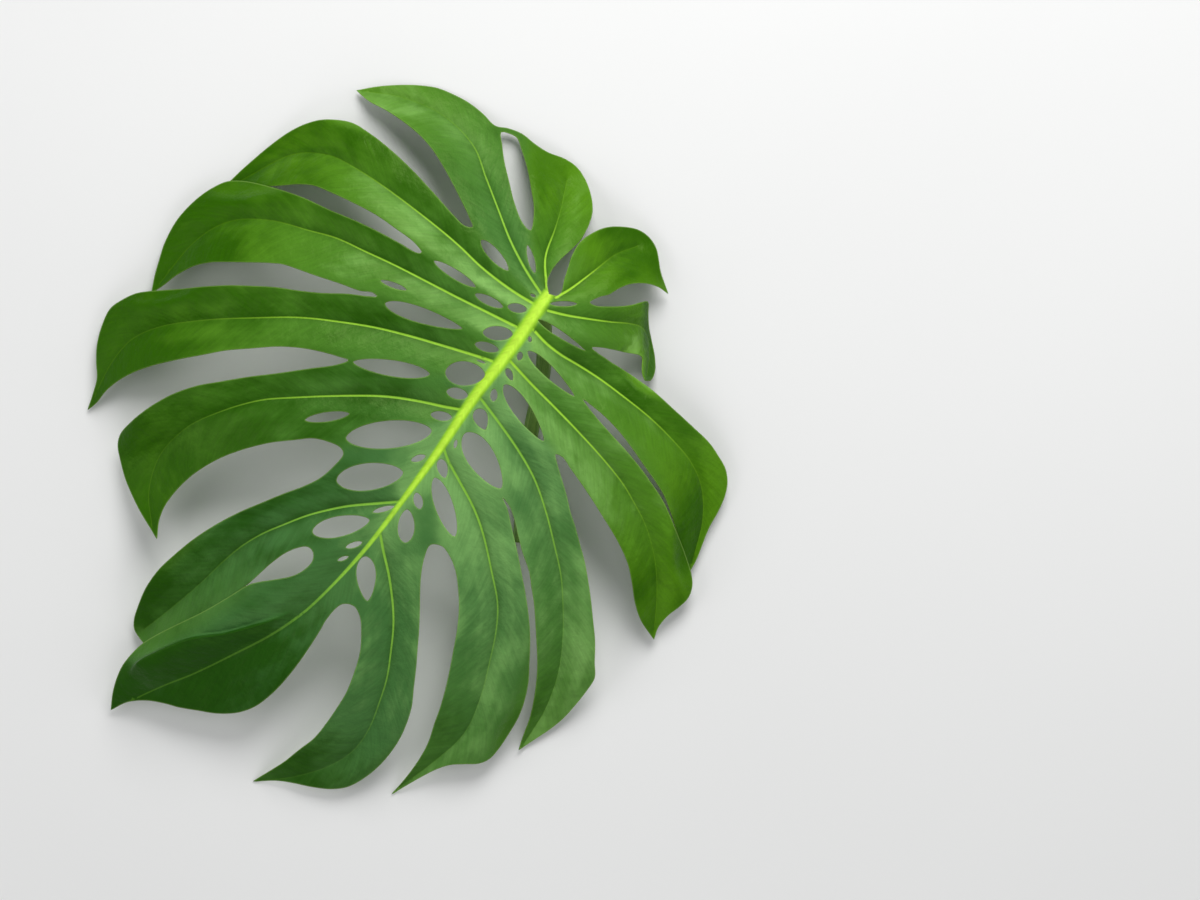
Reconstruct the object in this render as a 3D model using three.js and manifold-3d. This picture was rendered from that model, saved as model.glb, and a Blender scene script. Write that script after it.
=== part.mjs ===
// A cut monstera leaf: a domed blade with lobes, slots and holes, and the petiole bent back under it.
// Millimetres, +Z up. The plan is drawn with the petiole's joint at (0, 0) and the leaf's tip towards +Y;
// the finished group is then moved so that its origin is at the middle of what it rests on.
import * as THREE from "three";
import { mergeVertices } from "three/addons/utils/BufferGeometryUtils.js";
import Module from "manifold-3d";

// Driving dimensions
const BLADE_THICKNESS = 1;
const CROWN = new THREE.Vector2(-10, 150); // plan position of the dome's top
const CROWN_HEIGHT = 66;
const DOME_POWER = 3; // higher is flatter on top and steeper at the lobes' ends
const FOOT_SPREAD = 0.05; // radians over which the dome's edge turns from one foot to the next
const QUILT_HEIGHT = 7; // how far the blade rises between two veins
const QUILT_WIDTH = 20; // half distance between veins at which it reaches that height
const TILT = 4; // how far a lobe's margin nearer the petiole rises, and its other margin sinks
const TILT_START = 0.45; // share of the way along the lobe's vein
const NEIGHBOUR_POWER = 4; // how quickly a vein further off stops counting as the next one
const BLEND_POWER = 6; // how quickly a lobe's tilt gives way to its neighbour's
const GRID = 14; // spacing of the blade's inner vertices
const OUTLINE_STEP = 2; // spacing at which a margin is sampled before it is simplified
const OUTLINE_TOLERANCE = 0.5;
const MIDRIB_RADIUS = 6; // at the petiole; it tapers to MIDRIB_TIP_RADIUS
const MIDRIB_TIP_RADIUS = 0.9;
const MIDRIB_LENGTH_SHARE = 0.9; // of the way to the leaf's tip
const MIDRIB_SINK = 0.55; // centre below the blade's top, as a share of its radius
const MIDRIB_TAPER = 0.7; // below 1 it thins most near the petiole
const MIDRIB_FLATNESS = 0.8; // its height as a share of its width
const PETIOLE_RADIUS = 6.5;
const KNEE_RADIUS = 7; // the thicker knee where petiole meets blade
const JOINT = [-4, 8]; // plan position of the knee
const JOINT_DROP = 9; // from the blade's top to the knee's end, which just clears the midrib
const KNEE_LENGTH = 8; // how far the petiole then runs on before it bends
const PETIOLE_BENDS = [[-12, 8, -20], [-36, 32, -31]]; // from the knee's end
const PETIOLE_SAG = 0.6; // share of the way to the cut end at which it nears the ground
const PETIOLE_SAG_HEIGHT = 7; // above the cut end
const PETIOLE_CUT = [-128, 158]; // plan position of the cut end
const GROUND_GAP = 0.2; // under the cut end

// The blade's lobes, in order round the margin from the notch at the petiole: up the right side, over
// the tip and down the left side. vein is the vein down the lobe's middle, out the margin up to its
// point, back the margin from there to the bottom of the next slot, and foot what it rests on.
const LOBES = [
  {
    side: "right",
    vein: [[1, -3], [20, -20], [32, -42], [43, -60], [56, -78]],
    out: [[5, -7], [9, -16], [10.5, -27], [10.5, -40], [11.5, -52], [22, -74], [40, -87], [58, -92]],
    tip: [70, -90],
    smooth: true,
    back: [[84, -83.5], [96, -81], [110, -79.5], [121, -74.5], [129, -68.5]],
    foot: [58, -92],
  },
  {
    side: "right",
    vein: [
      [2, 3], [25, -2], [50, -10], [75, -21], [100, -32], [128, -44], [165, -44], [200, -30],
      [226, -11],
    ],
    out: [[142, -68.5], [156, -67], [170, -63], [184, -57], [196, -48], [208, -36], [219, -23]],
    tip: [229, -9],
    back: [[214, -10], [200, -14], [185, -17], [165, -19], [148, -18], [130, -14], [110, -8], [84, 1]],
    slot: [78, 4],
    foot: [229, -9],
  },
  {
    side: "right",
    vein: [
      [-1, 13], [20, 18], [50, 22], [75, 22.5], [100, 24.5], [150, 31], [180, 37], [203, 44],
      [228, 64], [246, 108],
    ],
    out: [
      [83, 8], [95, 8.5], [120, 7], [150, 6], [175, 7], [195, 9.5], [210, 13], [222, 21], [232, 31],
      [241, 47], [246, 65], [249, 90],
    ],
    tip: [250, 116],
    back: [
      [240, 106], [222, 92], [205, 78], [195, 71], [180, 65], [160, 58], [140, 52], [120, 48.5],
      [103, 46],
    ],
    slot: [91.5, 47.5],
    foot: [250, 100],
  },
  {
    side: "right",
    vein: [
      [-4, 36], [20, 44], [50, 54], [100, 70], [125, 79], [150, 88], [170, 99], [200, 116], [224, 140],
      [234, 172], [232, 210],
    ],
    out: [
      [94, 50.5], [110, 55], [130, 61], [150, 68], [170, 76], [190, 83], [205, 89.5], [220, 97],
      [235, 105.5], [245, 113], [251, 120.5], [256, 136], [258, 155], [257, 171], [252, 187],
      [245, 199], [238, 210],
    ],
    tip: [231, 219],
    back: [
      [228.5, 209], [226, 197], [221, 186], [212, 175], [200, 164], [188, 153], [175, 141], [165, 133],
      [155, 128], [140, 121], [120, 111], [105, 104], [97, 98],
    ],
    slot: [91.5, 97.5],
    foot: [257, 165],
  },
  {
    side: "right",
    vein: [
      [-10, 69], [0, 74], [30, 90], [50, 101], [75, 116], [100, 134], [125, 154], [150, 179],
      [180, 211], [203, 241], [213, 265], [212, 290], [202, 324],
    ],
    out: [
      [97, 103], [110, 113], [125, 127], [140, 139], [155, 150], [170, 163], [185, 177], [200, 193],
      [213, 208], [223, 219], [231, 228], [237, 236], [242, 248], [244.5, 260], [241, 272], [232, 288],
      [222, 299], [212, 308], [206, 319],
    ],
    tip: [200, 333],
    back: [
      [198.5, 322], [199, 310], [197, 297], [192, 282], [183, 265], [172, 248], [160, 231], [148, 214],
      [135, 199], [120, 182], [105, 169], [90, 159], [80, 153.5],
    ],
    slot: [71.5, 149.5],
    foot: [217, 314],
  },
  {
    side: "right",
    vein: [
      [-20, 114], [-10, 121], [10, 134], [30, 149], [50, 168], [82, 202], [100, 223], [117, 253],
      [128, 282], [129, 315], [115, 342], [92, 360],
    ],
    out: [
      [75, 158], [90, 178], [105, 198], [120, 217], [133, 235], [145, 252], [155, 272], [161, 292],
      [164.5, 312], [165, 326], [161, 334], [150, 342], [135, 350], [115, 356.5], [100, 360],
    ],
    tip: [82, 363.5],
    back: [
      [91, 353], [96.5, 340], [98.5, 325], [98, 309], [95, 293], [89, 275], [80, 257], [70, 241],
      [58, 226], [48, 214], [38, 207.5], [27, 203.5],
    ],
    slot: [21.5, 205.5],
    foot: [150, 342],
  },
  {
    side: "right",
    vein: [
      [-37, 201], [-25, 215], [-10, 233], [0, 248], [8, 262], [16, 280], [23, 297], [28, 315],
      [31, 335], [33, 360], [38, 395], [43, 425],
    ],
    out: [
      [20, 216], [21, 232], [26, 247], [33, 262], [41, 281], [48, 298], [55, 319], [60, 338],
      [64, 360], [66, 379], [64.5, 398], [60, 414], [54.5, 427], [49, 432.5], [42, 434],
    ],
    tip: [30.5, 434],
    back: [
      [27, 420], [21, 400], [14, 378], [8.5, 357], [4, 338], [2.5, 325], [1.5, 310], [-1, 295],
      [-5, 285], [-10, 278.5],
    ],
    slot: [-16, 278],
    foot: [55, 428],
  },
  {
    side: "right",
    vein: [
      [-3, 0], [-5, 10], [-13, 50], [-20, 100], [-30, 150], [-38, 200], [-44, 245], [-46, 290],
      [-45, 320], [-40, 350], [-30, 385], [-19, 420], [-9, 445], [6, 488],
    ],
    out: [
      [-21, 283], [-22, 290], [-21, 297], [-18, 305], [-10, 317], [-3, 327], [1, 334.5], [6, 357],
      [11.5, 379], [18.5, 401], [24.5, 421], [27.5, 437], [26.5, 455], [22.5, 468], [16, 481],
    ],
    tip: [8, 493],
    back: [
      [3, 478], [-8, 464], [-20, 455], [-30, 449], [-42, 440], [-55, 430], [-66, 417], [-72, 403],
      [-74, 385], [-73, 365], [-70, 345], [-65, 322], [-61.5, 308], [-62, 292],
    ],
    slot: [-70, 286],
    foot: [8, 493],
  },
  {
    side: "left",
    vein: [
      [-45, 231], [-55, 238], [-75, 251], [-100, 272], [-118, 294], [-130, 311], [-140, 331],
      [-148, 350], [-152, 372], [-148, 395], [-135, 422], [-116, 448],
    ],
    out: [
      [-80, 289], [-91, 299], [-100, 310], [-108, 325], [-115, 342], [-118, 355], [-121, 372],
      [-122.5, 388], [-120.5, 405], [-119, 420], [-116, 435],
    ],
    tip: [-112, 453],
    back: [
      [-125, 438], [-138, 428], [-150, 420], [-162, 410], [-170, 399], [-174.5, 382], [-175.5, 365],
      [-173, 345], [-168, 329], [-160, 313], [-150, 300], [-140, 287], [-130, 275], [-120, 263],
      [-110, 252], [-100, 241.5], [-90, 230], [-82, 218], [-78.5, 208],
    ],
    slot: [-86, 202],
    foot: [-118, 443],
  },
  {
    side: "left",
    vein: [
      [-32, 146], [-40, 150], [-60, 156], [-80, 162], [-100, 171], [-130, 190], [-150, 204],
      [-165, 221], [-178, 241], [-195, 270], [-206, 300], [-205, 335], [-200, 374],
    ],
    out: [
      [-97, 203.5], [-108, 208.5], [-118, 216], [-130, 227], [-141, 240], [-152, 256], [-162, 271],
      [-170, 284], [-177, 297], [-183, 310], [-190, 324], [-194, 336], [-197, 350], [-199, 365],
    ],
    tip: [-200, 380],
    back: [
      [-203, 366], [-207, 350], [-211, 337], [-216, 327], [-224, 318], [-232, 309.5], [-235.5, 301],
      [-235, 290], [-232, 275], [-228, 260], [-222, 247], [-213, 233], [-201, 219.5], [-187, 204.5],
      [-172, 191.5], [-158, 181], [-145, 172], [-130, 162], [-114, 152], [-102, 144.5],
    ],
    slot: [-92.5, 140.5],
    foot: [-204, 366],
  },
  {
    side: "left",
    vein: [
      [-25, 97], [-50, 100.5], [-75, 105], [-100, 112], [-125, 124], [-150, 139], [-170, 152],
      [-185, 165], [-207, 187], [-226, 212], [-240, 242], [-247, 272],
    ],
    out: [
      [-101, 141], [-112, 146], [-124, 153.5], [-135, 160], [-150, 167.5], [-160, 175], [-172, 184],
      [-185, 195.5], [-207, 216], [-218, 228.5], [-228, 242], [-236, 255], [-241, 266],
    ],
    tip: [-248, 280],
    back: [
      [-251, 264], [-254, 248], [-255, 235], [-254, 220], [-252, 205], [-249, 193], [-240, 184],
      [-228, 171.5], [-213, 159], [-200, 148.5], [-188, 139.5], [-175, 130.5], [-162, 123],
      [-150, 116], [-140, 111], [-128, 103.5], [-118, 98], [-106, 91.5],
    ],
    slot: [-98, 86],
    foot: [-255, 235],
  },
  {
    side: "left",
    vein: [
      [-20, 59], [-45, 60], [-70, 60], [-100, 60.5], [-130, 62], [-155, 65], [-170, 69], [-185, 73.5],
      [-203, 82], [-222, 95], [-240, 112], [-257, 132],
    ],
    out: [
      [-104, 83.5], [-115, 85.5], [-130, 88], [-145, 91], [-160, 94.5], [-175, 98], [-190, 102.5],
      [-203, 108], [-216, 116.5], [-229, 126], [-243, 133],
    ],
    tip: [-262, 137],
    back: [
      [-257.5, 128], [-256, 115], [-257.5, 103], [-257.5, 93], [-253, 84], [-246, 78], [-235, 72],
      [-222, 66], [-210, 61], [-198, 56], [-185, 51.5], [-170, 48.5], [-155, 46], [-140, 44.5],
      [-120, 43.5], [-100, 42.3],
    ],
    slot: [-82, 39.5],
    foot: [-258, 100],
  },
  {
    side: "left",
    vein: [
      [-14, 28], [-30, 28.5], [-45, 26.5], [-60, 22.5], [-80, 18], [-100, 15], [-130, 11.5],
      [-155, 11], [-180, 13], [-202, 21], [-222, 38], [-240, 66],
    ],
    out: [
      [-100, 36.8], [-120, 36.8], [-138, 39], [-155, 42], [-170, 44.5], [-185, 47.5], [-198, 52],
      [-210, 57], [-222, 62.5], [-234, 68],
    ],
    tip: [-243.5, 73],
    back: [
      [-240.5, 62], [-235, 50], [-229, 37], [-225, 24], [-220, 12], [-213, 2.5], [-204, -3.5],
      [-192, -6.5], [-180, -8.5], [-160, -8], [-140, -7], [-120, -6], [-105, -4], [-90, -1],
      [-75, 2.5],
    ],
    slot: [-57.5, 5],
    foot: [-218, 8],
  },
  {
    side: "left",
    vein: [[-12, 9], [-25, 1], [-40, -10], [-55, -22], [-65, -31], [-76, -37], [-92, -28], [-105, -12]],
    out: [[-62, 0], [-70, -6], [-79, -12], [-91, -19.5], [-97, -14], [-102, -9.5]],
    tip: [-107, -7.5],
    back: [
      [-110, -11], [-107, -19], [-99, -27], [-88, -34.5], [-78, -41], [-70, -48], [-63, -54.5],
      [-60, -50], [-56, -42.5], [-50, -34.5], [-43, -27], [-37, -21.5],
    ],
    slot: [-31, -19.5],
    foot: [-94, -31],
  },
  {
    side: "left",
    vein: [[-9, -3], [-12, -15], [-14.5, -30], [-17, -45], [-20, -62], [-28, -80]],
    out: [[-34, -29], [-38, -35], [-40.5, -43], [-44, -51], [-50, -59], [-58, -66], [-66, -70]],
    tip: [-74, -71.5],
    back: [
      [-66, -75], [-56, -80], [-48, -86], [-40, -91], [-30, -93], [-20, -91], [-10, -84], [0, -73],
      [5, -62], [7.5, -50], [5.5, -38], [1, -28], [-4, -18], [-9, -10], [-9, -5],
    ],
    slot: [-3, -1],
    foot: [-40, -91],
  },
];
const MIDRIB_LOBE = 7;
const TUCKED_LOBE = 0; // lies a little under its neighbour across the notch, so it tilts the other way

// The holes: middle x, y, half length, half width, angle in degrees, and how much blunter its far end is.
const HOLES = [
  [-17, -4, 11, 2.4, 45, 0], [-34, 15, 22.5, 2.9, 12, 0.35], [-18.5, 35.5, 2.6, 1.9, -40, 0],
  [-50, 43, 26, 4.8, 1, 0.35], [-22.5, 50.8, 3.8, 2.6, -60, 0], [-27, 67, 5.6, 2.9, -20, 0.2],
  [-57, 80.5, 27.5, 7, -10, 0.3], [-30, 87.6, 5.3, 3.3, -50, 0], [-36.5, 108.3, 9.2, 5.8, -24, 0.35],
  [-61, 130.5, 26.5, 11, -12, 0.25], [-36, 136.8, 3.8, 1.8, -58, 0], [-42.5, 158, 8, 4.4, -30, 0.2],
  [-65.5, 178.5, 25, 7.4, -26, 0.1], [-47, 190, 7, 4, -30, 0], [-54.5, 211, 13.5, 7, -48, -0.1],
  [-61.5, 263.5, 18, 7.8, -42, 0.3],
  [5, 8.8, 2.6, 1.6, 20, 0], [27, -11, 12, 2.8, -30, -0.1], [49.5, 7.6, 16.5, 4.8, -3, 0.1],
  [6.5, 25, 8, 4, 35, 0], [26.5, 36.8, 12.5, 3.8, 20, 0], [61, 41, 19.8, 3.9, 13, 0],
  [3, 50.3, 12, 6, 42, 0], [1.3, 64.3, 10, 4, 30, 0], [54.5, 82.5, 32.5, 6.3, 27, 0.3],
  [89, 82, 11.3, 2.5, 25, 0], [-3.5, 75.8, 4.2, 1.2, 25, 0], [-1.5, 91.5, 16, 10, 42, 0.1],
  [-8.3, 107.3, 8.8, 4.8, 33, 0], [43, 130, 31, 6.6, 36, -0.1], [-12, 129, 8.8, 4, 36, 0],
  [7, 169, 34.5, 11.3, 50, 0], [-23, 165.8, 6.3, 2.9, 64, 0], [-6, 203.5, 27, 11, 52, 0.1],
  [-32, 214.5, 9, 2.3, 60, 0], [52, 194, 18, 4, 53, 0], [-17.5, 248, 23.5, 8.3, 57, 0.15],
  [-35.5, 251.3, 7, 2.5, 63, 0], [-37, 265.3, 4.8, 1.8, 66, 0],
];
const HOLE_POINTEDNESS = 1.15;
const LONG_HOLE = 12; // a hole with a greater half length is drawn with more corners
const LONG_HOLE_CORNERS = 16;
const SHORT_HOLE_CORNERS = 8;

// The slot between the first two lobes on the right, which a thin strip of margin still closes.
const CLOSED_SLOT = [
  [44, -27], [52, -26.5], [70, -34], [85, -43], [100, -52], [112, -60.5], [122, -68.5], [117, -72.5],
  [110, -74.5], [100, -70], [85, -62], [70, -52], [55, -41],
];
const CLOSED_SLOT_STEPS = 26;
const VEIN_STEPS = 24;
const SLOPE_REACH = 5; // how far to each side of a place its slope is measured
const TINY = 0.01; // the least distance from a vein that is divided by

const smoothstep = THREE.MathUtils.smoothstep;
const flat = ([x, y]) => new THREE.Vector3(x, y, 0);
const splineThrough = (points, closed = false) =>
  new THREE.CatmullRomCurve3(points.map(flat), closed, "centripetal");

// Drops the points that lie within the tolerance of the line between those kept (Douglas-Peucker).
function simplify(points, tolerance) {
  const first = points[0];
  const last = points[points.length - 1];
  const chord = new THREE.Line3(first, last);
  let worst = 0;
  let at = 0;
  points.forEach((p, i) => {
    const off = chord.closestPointToPoint(p, true, new THREE.Vector3()).distanceTo(p);
    if (off > worst) [worst, at] = [off, i];
  });
  if (worst < tolerance) return [first, last];
  const head = simplify(points.slice(0, at + 1), tolerance);
  return [...head.slice(0, -1), ...simplify(points.slice(at), tolerance)];
}

function sampled(curve) {
  const steps = Math.max(2, Math.ceil(curve.getLength() / OUTLINE_STEP));
  return simplify(curve.getSpacedPoints(steps), OUTLINE_TOLERANCE);
}

// Joins the lobes' margins into one outline: it is smooth round each slot and sharp at each lobe's point.
function bladeOutline() {
  const start = LOBES[LOBES.length - 1].slot;
  const spans = [[start]];
  LOBES.forEach((lobe) => {
    spans[spans.length - 1].push(...lobe.out, lobe.tip);
    if (!lobe.smooth) spans.push([lobe.tip]);
    spans[spans.length - 1].push(...lobe.back);
    if (lobe.slot) spans[spans.length - 1].push(lobe.slot);
  });
  return spans.flatMap((span) => sampled(splineThrough(span)).slice(0, -1));
}

function holeOutline([x, y, halfLength, halfWidth, degrees, bluntness]) {
  const count = halfLength > LONG_HOLE ? LONG_HOLE_CORNERS : SHORT_HOLE_CORNERS;
  const turn = THREE.MathUtils.degToRad(degrees);
  return Array.from({ length: count }, (_, i) => {
    const a = (2 * Math.PI * i) / count;
    const across = Math.sign(Math.sin(a)) * Math.abs(Math.sin(a)) ** HOLE_POINTEDNESS;
    const p = new THREE.Vector2(
      halfLength * Math.cos(a),
      halfWidth * across * (1 + bluntness * Math.cos(a)),
    );
    return p.rotateAround(new THREE.Vector2(), turn).add(new THREE.Vector2(x, y));
  });
}

function bladePlan() {
  const plan = new THREE.Shape(bladeOutline().map((p) => new THREE.Vector2(p.x, p.y)));
  plan.holes = HOLES.map((hole) => new THREE.Path(holeOutline(hole)));
  const slot = splineThrough(CLOSED_SLOT, true);
  const slotPoints = slot.getSpacedPoints(CLOSED_SLOT_STEPS).slice(0, -1);
  plan.holes.push(new THREE.Path(slotPoints.map((p) => new THREE.Vector2(p.x, p.y))));
  return plan;
}

// The veins as short straight steps, with the distance along each.
const VEINS = LOBES.map((lobe) => {
  const curve = splineThrough(lobe.vein);
  return { points: curve.getSpacedPoints(VEIN_STEPS), length: curve.getLength() };
});

// The nearest place on a vein: how far off it is, how far along, and to which side. turn is 1 on the left,
// -1 on the right, and passes smoothly from one to the other round the vein's ends.
function nearestOnVein(vein, x, y) {
  const found = { off: Infinity, along: 0, turn: 0 };
  const step = vein.length / (vein.points.length - 1);
  vein.points.slice(1).forEach((b, i) => {
    const a = vein.points[i];
    const [dx, dy] = [b.x - a.x, b.y - a.y];
    const share = THREE.MathUtils.clamp(((x - a.x) * dx + (y - a.y) * dy) / (dx * dx + dy * dy), 0, 1);
    const off = Math.hypot(x - a.x - share * dx, y - a.y - share * dy);
    if (off < found.off) {
      found.off = off;
      found.along = ((i + share) * step) / vein.length;
      found.turn = (dx * (y - a.y) - dy * (x - a.x)) / (Math.hypot(dx, dy) * Math.max(off, TINY));
    }
  });
  return found;
}

// How far the dome reaches in a direction: as far as the feet that lie that way.
function domeReach(angle) {
  let sum = 0;
  let weights = 0;
  for (const { foot } of LOBES) {
    const arm = new THREE.Vector2(...foot).sub(CROWN);
    const turn = Math.atan2(Math.sin(angle - arm.angle()), Math.cos(angle - arm.angle()));
    const weight = 1 / (turn * turn + FOOT_SPREAD * FOOT_SPREAD);
    sum += weight * arm.length();
    weights += weight;
  }
  return sum / weights;
}

function domeHeight(x, y) {
  const arm = new THREE.Vector2(x, y).sub(CROWN);
  return CROWN_HEIGHT * (1 - (arm.length() / domeReach(arm.angle())) ** DOME_POWER);
}

// How much the tilt of one lobe lifts a point: nothing near the vein's start, most at the lobe's end.
function lobeTilt({ lobe, off, along, turn }, half) {
  const towardsPetiole = LOBES[lobe].side === "right" ? -turn : turn;
  const tilt = lobe === TUCKED_LOBE ? -TILT : TILT;
  return tilt * towardsPetiole * Math.min(1, off / half) * smoothstep(along, TILT_START, 1);
}

// Height of the blade's top: the dome, the quilting between the veins, and each lobe's tilt.
function bladeHeight(x, y) {
  const near = VEINS.map((vein, lobe) => ({ lobe, ...nearestOnVein(vein, x, y) }));
  near.forEach((v) => {
    v.off = Math.max(v.off, TINY);
  });
  near.sort((a, b) => a.off - b.off);
  const [own, ...others] = near;
  const crowding = others.reduce((sum, v) => sum + v.off ** -NEIGHBOUR_POWER, 0);
  const next = crowding ** (-1 / NEIGHBOUR_POWER);
  const half = (own.off + next) / 2;
  const across = Math.min(1, own.off / half);
  const quilt = QUILT_HEIGHT * Math.min(1, half / QUILT_WIDTH) * Math.sin((across * Math.PI) / 2);
  const weight = (v) => (own.off / v.off) ** BLEND_POWER;
  const weights = near.reduce((sum, v) => sum + weight(v), 0);
  const tilt = near.reduce((sum, v) => sum + weight(v) * lobeTilt(v, half), 0) / weights;
  return domeHeight(x, y) + quilt + tilt;
}

const wasm = await Module();
wasm.setup();

function solidOf(geometry) {
  const bare = geometry.clone();
  bare.deleteAttribute("normal");
  bare.deleteAttribute("uv");
  const merged = mergeVertices(bare, 1e-4);
  return new wasm.Manifold(
    new wasm.Mesh({
      numProp: 3,
      vertProperties: merged.getAttribute("position").array,
      triVerts: new Uint32Array(merged.index.array),
    }),
  );
}

function geometryOf(solid) {
  const { vertProperties, triVerts } = solid.getMesh();
  const geometry = new THREE.BufferGeometry();
  geometry.setAttribute("position", new THREE.BufferAttribute(new Float32Array(vertProperties), 3));
  geometry.setIndex(new THREE.BufferAttribute(new Uint32Array(triVerts), 1));
  return geometry;
}

// Moves each vertex to where place(x, y, z) says.
function bend(geometry, place) {
  const position = geometry.getAttribute("position");
  const v = new THREE.Vector3();
  for (let i = 0; i < position.count; i++) {
    v.fromBufferAttribute(position, i);
    position.setXYZ(i, ...place(v.x, v.y, v.z));
  }
  return geometry;
}

// The blade's plan as a flat slab, with vertices on a grid so that it can be raised smoothly.
function flatBlade() {
  const plan = bladePlan();
  const box = new THREE.Box2().setFromPoints(plan.getPoints());
  const size = box.getSize(new THREE.Vector2()).addScalar(GRID);
  const middle = box.getCenter(new THREE.Vector2());
  const [across, along] = [Math.ceil(size.x / GRID), Math.ceil(size.y / GRID)];
  const slab = new THREE.BoxGeometry(size.x, size.y, BLADE_THICKNESS, across, along, 1);
  slab.translate(middle.x, middle.y, 0);
  const cutter = new THREE.ExtrudeGeometry(plan, { depth: 3 * BLADE_THICKNESS, bevelEnabled: false });
  cutter.translate(0, 0, -1.5 * BLADE_THICKNESS);
  return geometryOf(solidOf(slab).intersect(solidOf(cutter)));
}

// Raises the slab's upper face and closes it with a copy one thickness lower and walls round its edges.
// Both faces share one set of triangles, so that they stay apart however the blade curves.
function raisedBlade() {
  const slab = flatBlade();
  const corners = slab.getAttribute("position");
  const index = slab.index.array;
  const count = corners.count;
  const upper = [];
  for (let i = 0; i < index.length; i += 3) {
    const face = [index[i], index[i + 1], index[i + 2]];
    if (face.every((corner) => corners.getZ(corner) > 0)) upper.push(face);
  }
  const edges = upper.flatMap(([a, b, c]) => [[a, b], [b, c], [c, a]]);
  const known = new Set(edges.map(([a, b]) => a * count + b));
  const rim = edges.filter(([a, b]) => !known.has(b * count + a));
  const faces = [
    ...upper,
    ...upper.map(([a, b, c]) => [c + count, b + count, a + count]),
    ...rim.flatMap(([a, b]) => [[b, a, a + count], [b, a + count, b + count]]),
  ];
  const places = new Float32Array(6 * count);
  for (let i = 0; i < count; i++) {
    const [x, y] = [corners.getX(i), corners.getY(i)];
    const z = bladeHeight(x, y);
    places.set([x, y, z], 3 * i);
    places.set([x, y, z - BLADE_THICKNESS], 3 * (i + count));
  }
  const blade = new THREE.BufferGeometry();
  blade.setAttribute("position", new THREE.BufferAttribute(places, 3));
  blade.setIndex(faces.flat());
  return blade;
}

// A round bar along a curve. radiusAt gives its radius at each share of the way, and flatness its height.
function bar(curve, radiusAt, sides, steps, flatness = 1) {
  const frames = curve.computeFrenetFrames(steps);
  const points = curve.getSpacedPoints(steps);
  const straight = new THREE.CylinderGeometry(1, 1, steps, sides, steps);
  return bend(straight, (x, y, z) => {
    const i = Math.round(y + steps / 2);
    const radius = radiusAt(i / steps);
    const spread = new THREE.Vector3()
      .addScaledVector(frames.normals[i], z * radius)
      .addScaledVector(frames.binormals[i], x * radius);
    spread.z *= flatness;
    return points[i].clone().add(spread).toArray();
  });
}

function midrib() {
  const plan = VEINS[MIDRIB_LOBE].points;
  const used = plan.slice(0, Math.round(plan.length * MIDRIB_LENGTH_SHARE));
  const radiusAt = (share) => THREE.MathUtils.lerp(MIDRIB_RADIUS, MIDRIB_TIP_RADIUS, share ** MIDRIB_TAPER);
  const centres = used.map((p, i) => {
    const sink = MIDRIB_SINK * radiusAt(i / (used.length - 1));
    return new THREE.Vector3(p.x, p.y, bladeHeight(p.x, p.y) - sink);
  });
  const [sides, steps] = [10, 26];
  return bar(new THREE.CatmullRomCurve3(centres), radiusAt, sides, steps, MIDRIB_FLATNESS);
}

// The petiole hangs from the midrib's foot, bends back under the blade and runs down to its cut end, which
// lies on the ground, as the blade's lowest lobes do.
function petiole(ground) {
  const [x, y] = JOINT;
  const rise = bladeHeight(x, y + SLOPE_REACH) - bladeHeight(x, y - SLOPE_REACH);
  const slope = rise / (2 * SLOPE_REACH);
  const down = new THREE.Vector3(0, slope, -1).normalize();
  const joint = new THREE.Vector3(x, y, bladeHeight(x, y)).addScaledVector(down, JOINT_DROP);
  const cut = new THREE.Vector3(...PETIOLE_CUT, ground + PETIOLE_RADIUS + GROUND_GAP);
  const curve = new THREE.CatmullRomCurve3([
    joint,
    joint.clone().addScaledVector(down, KNEE_LENGTH),
    ...PETIOLE_BENDS.map((offset) => joint.clone().add(new THREE.Vector3(...offset))),
    joint.clone().lerp(cut, PETIOLE_SAG).setZ(cut.z + PETIOLE_SAG_HEIGHT),
    cut,
  ]);
  const thinning = (share) => 1 - smoothstep(share, 0.1, 0.25);
  const radiusAt = (share) => PETIOLE_RADIUS + (KNEE_RADIUS - PETIOLE_RADIUS) * thinning(share);
  const [sides, steps] = [12, 28];
  return bar(curve, radiusAt, sides, steps);
}

const leafGreen = new THREE.MeshStandardMaterial({ color: 0x2f6b1f, roughness: 0.38, metalness: 0 });
const stalkGreen = new THREE.MeshStandardMaterial({ color: 0x4f7a2c, roughness: 0.5, metalness: 0 });

const bladeMesh = new THREE.Mesh(geometryOf(solidOf(raisedBlade()).add(solidOf(midrib()))), leafGreen);
bladeMesh.name = "leaf_blade";
const ground = new THREE.Box3().setFromObject(bladeMesh).min.z;
const petioleMesh = new THREE.Mesh(petiole(ground), stalkGreen);
petioleMesh.name = "petiole";

const leaf = new THREE.Group();
leaf.add(bladeMesh, petioleMesh);
const extent = new THREE.Box3().setFromObject(leaf);
const middle = extent.getCenter(new THREE.Vector3());
leaf.position.set(-middle.x, -middle.y, -extent.min.z);

export default leaf;
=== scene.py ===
from dataclasses import dataclass
from math import pi, radians

import bpy
import numpy as np
from mathutils import Matrix, Vector, noise
from mathutils.geometry import delaunay_2d_cdt
from mathutils.kdtree import KDTree


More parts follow.
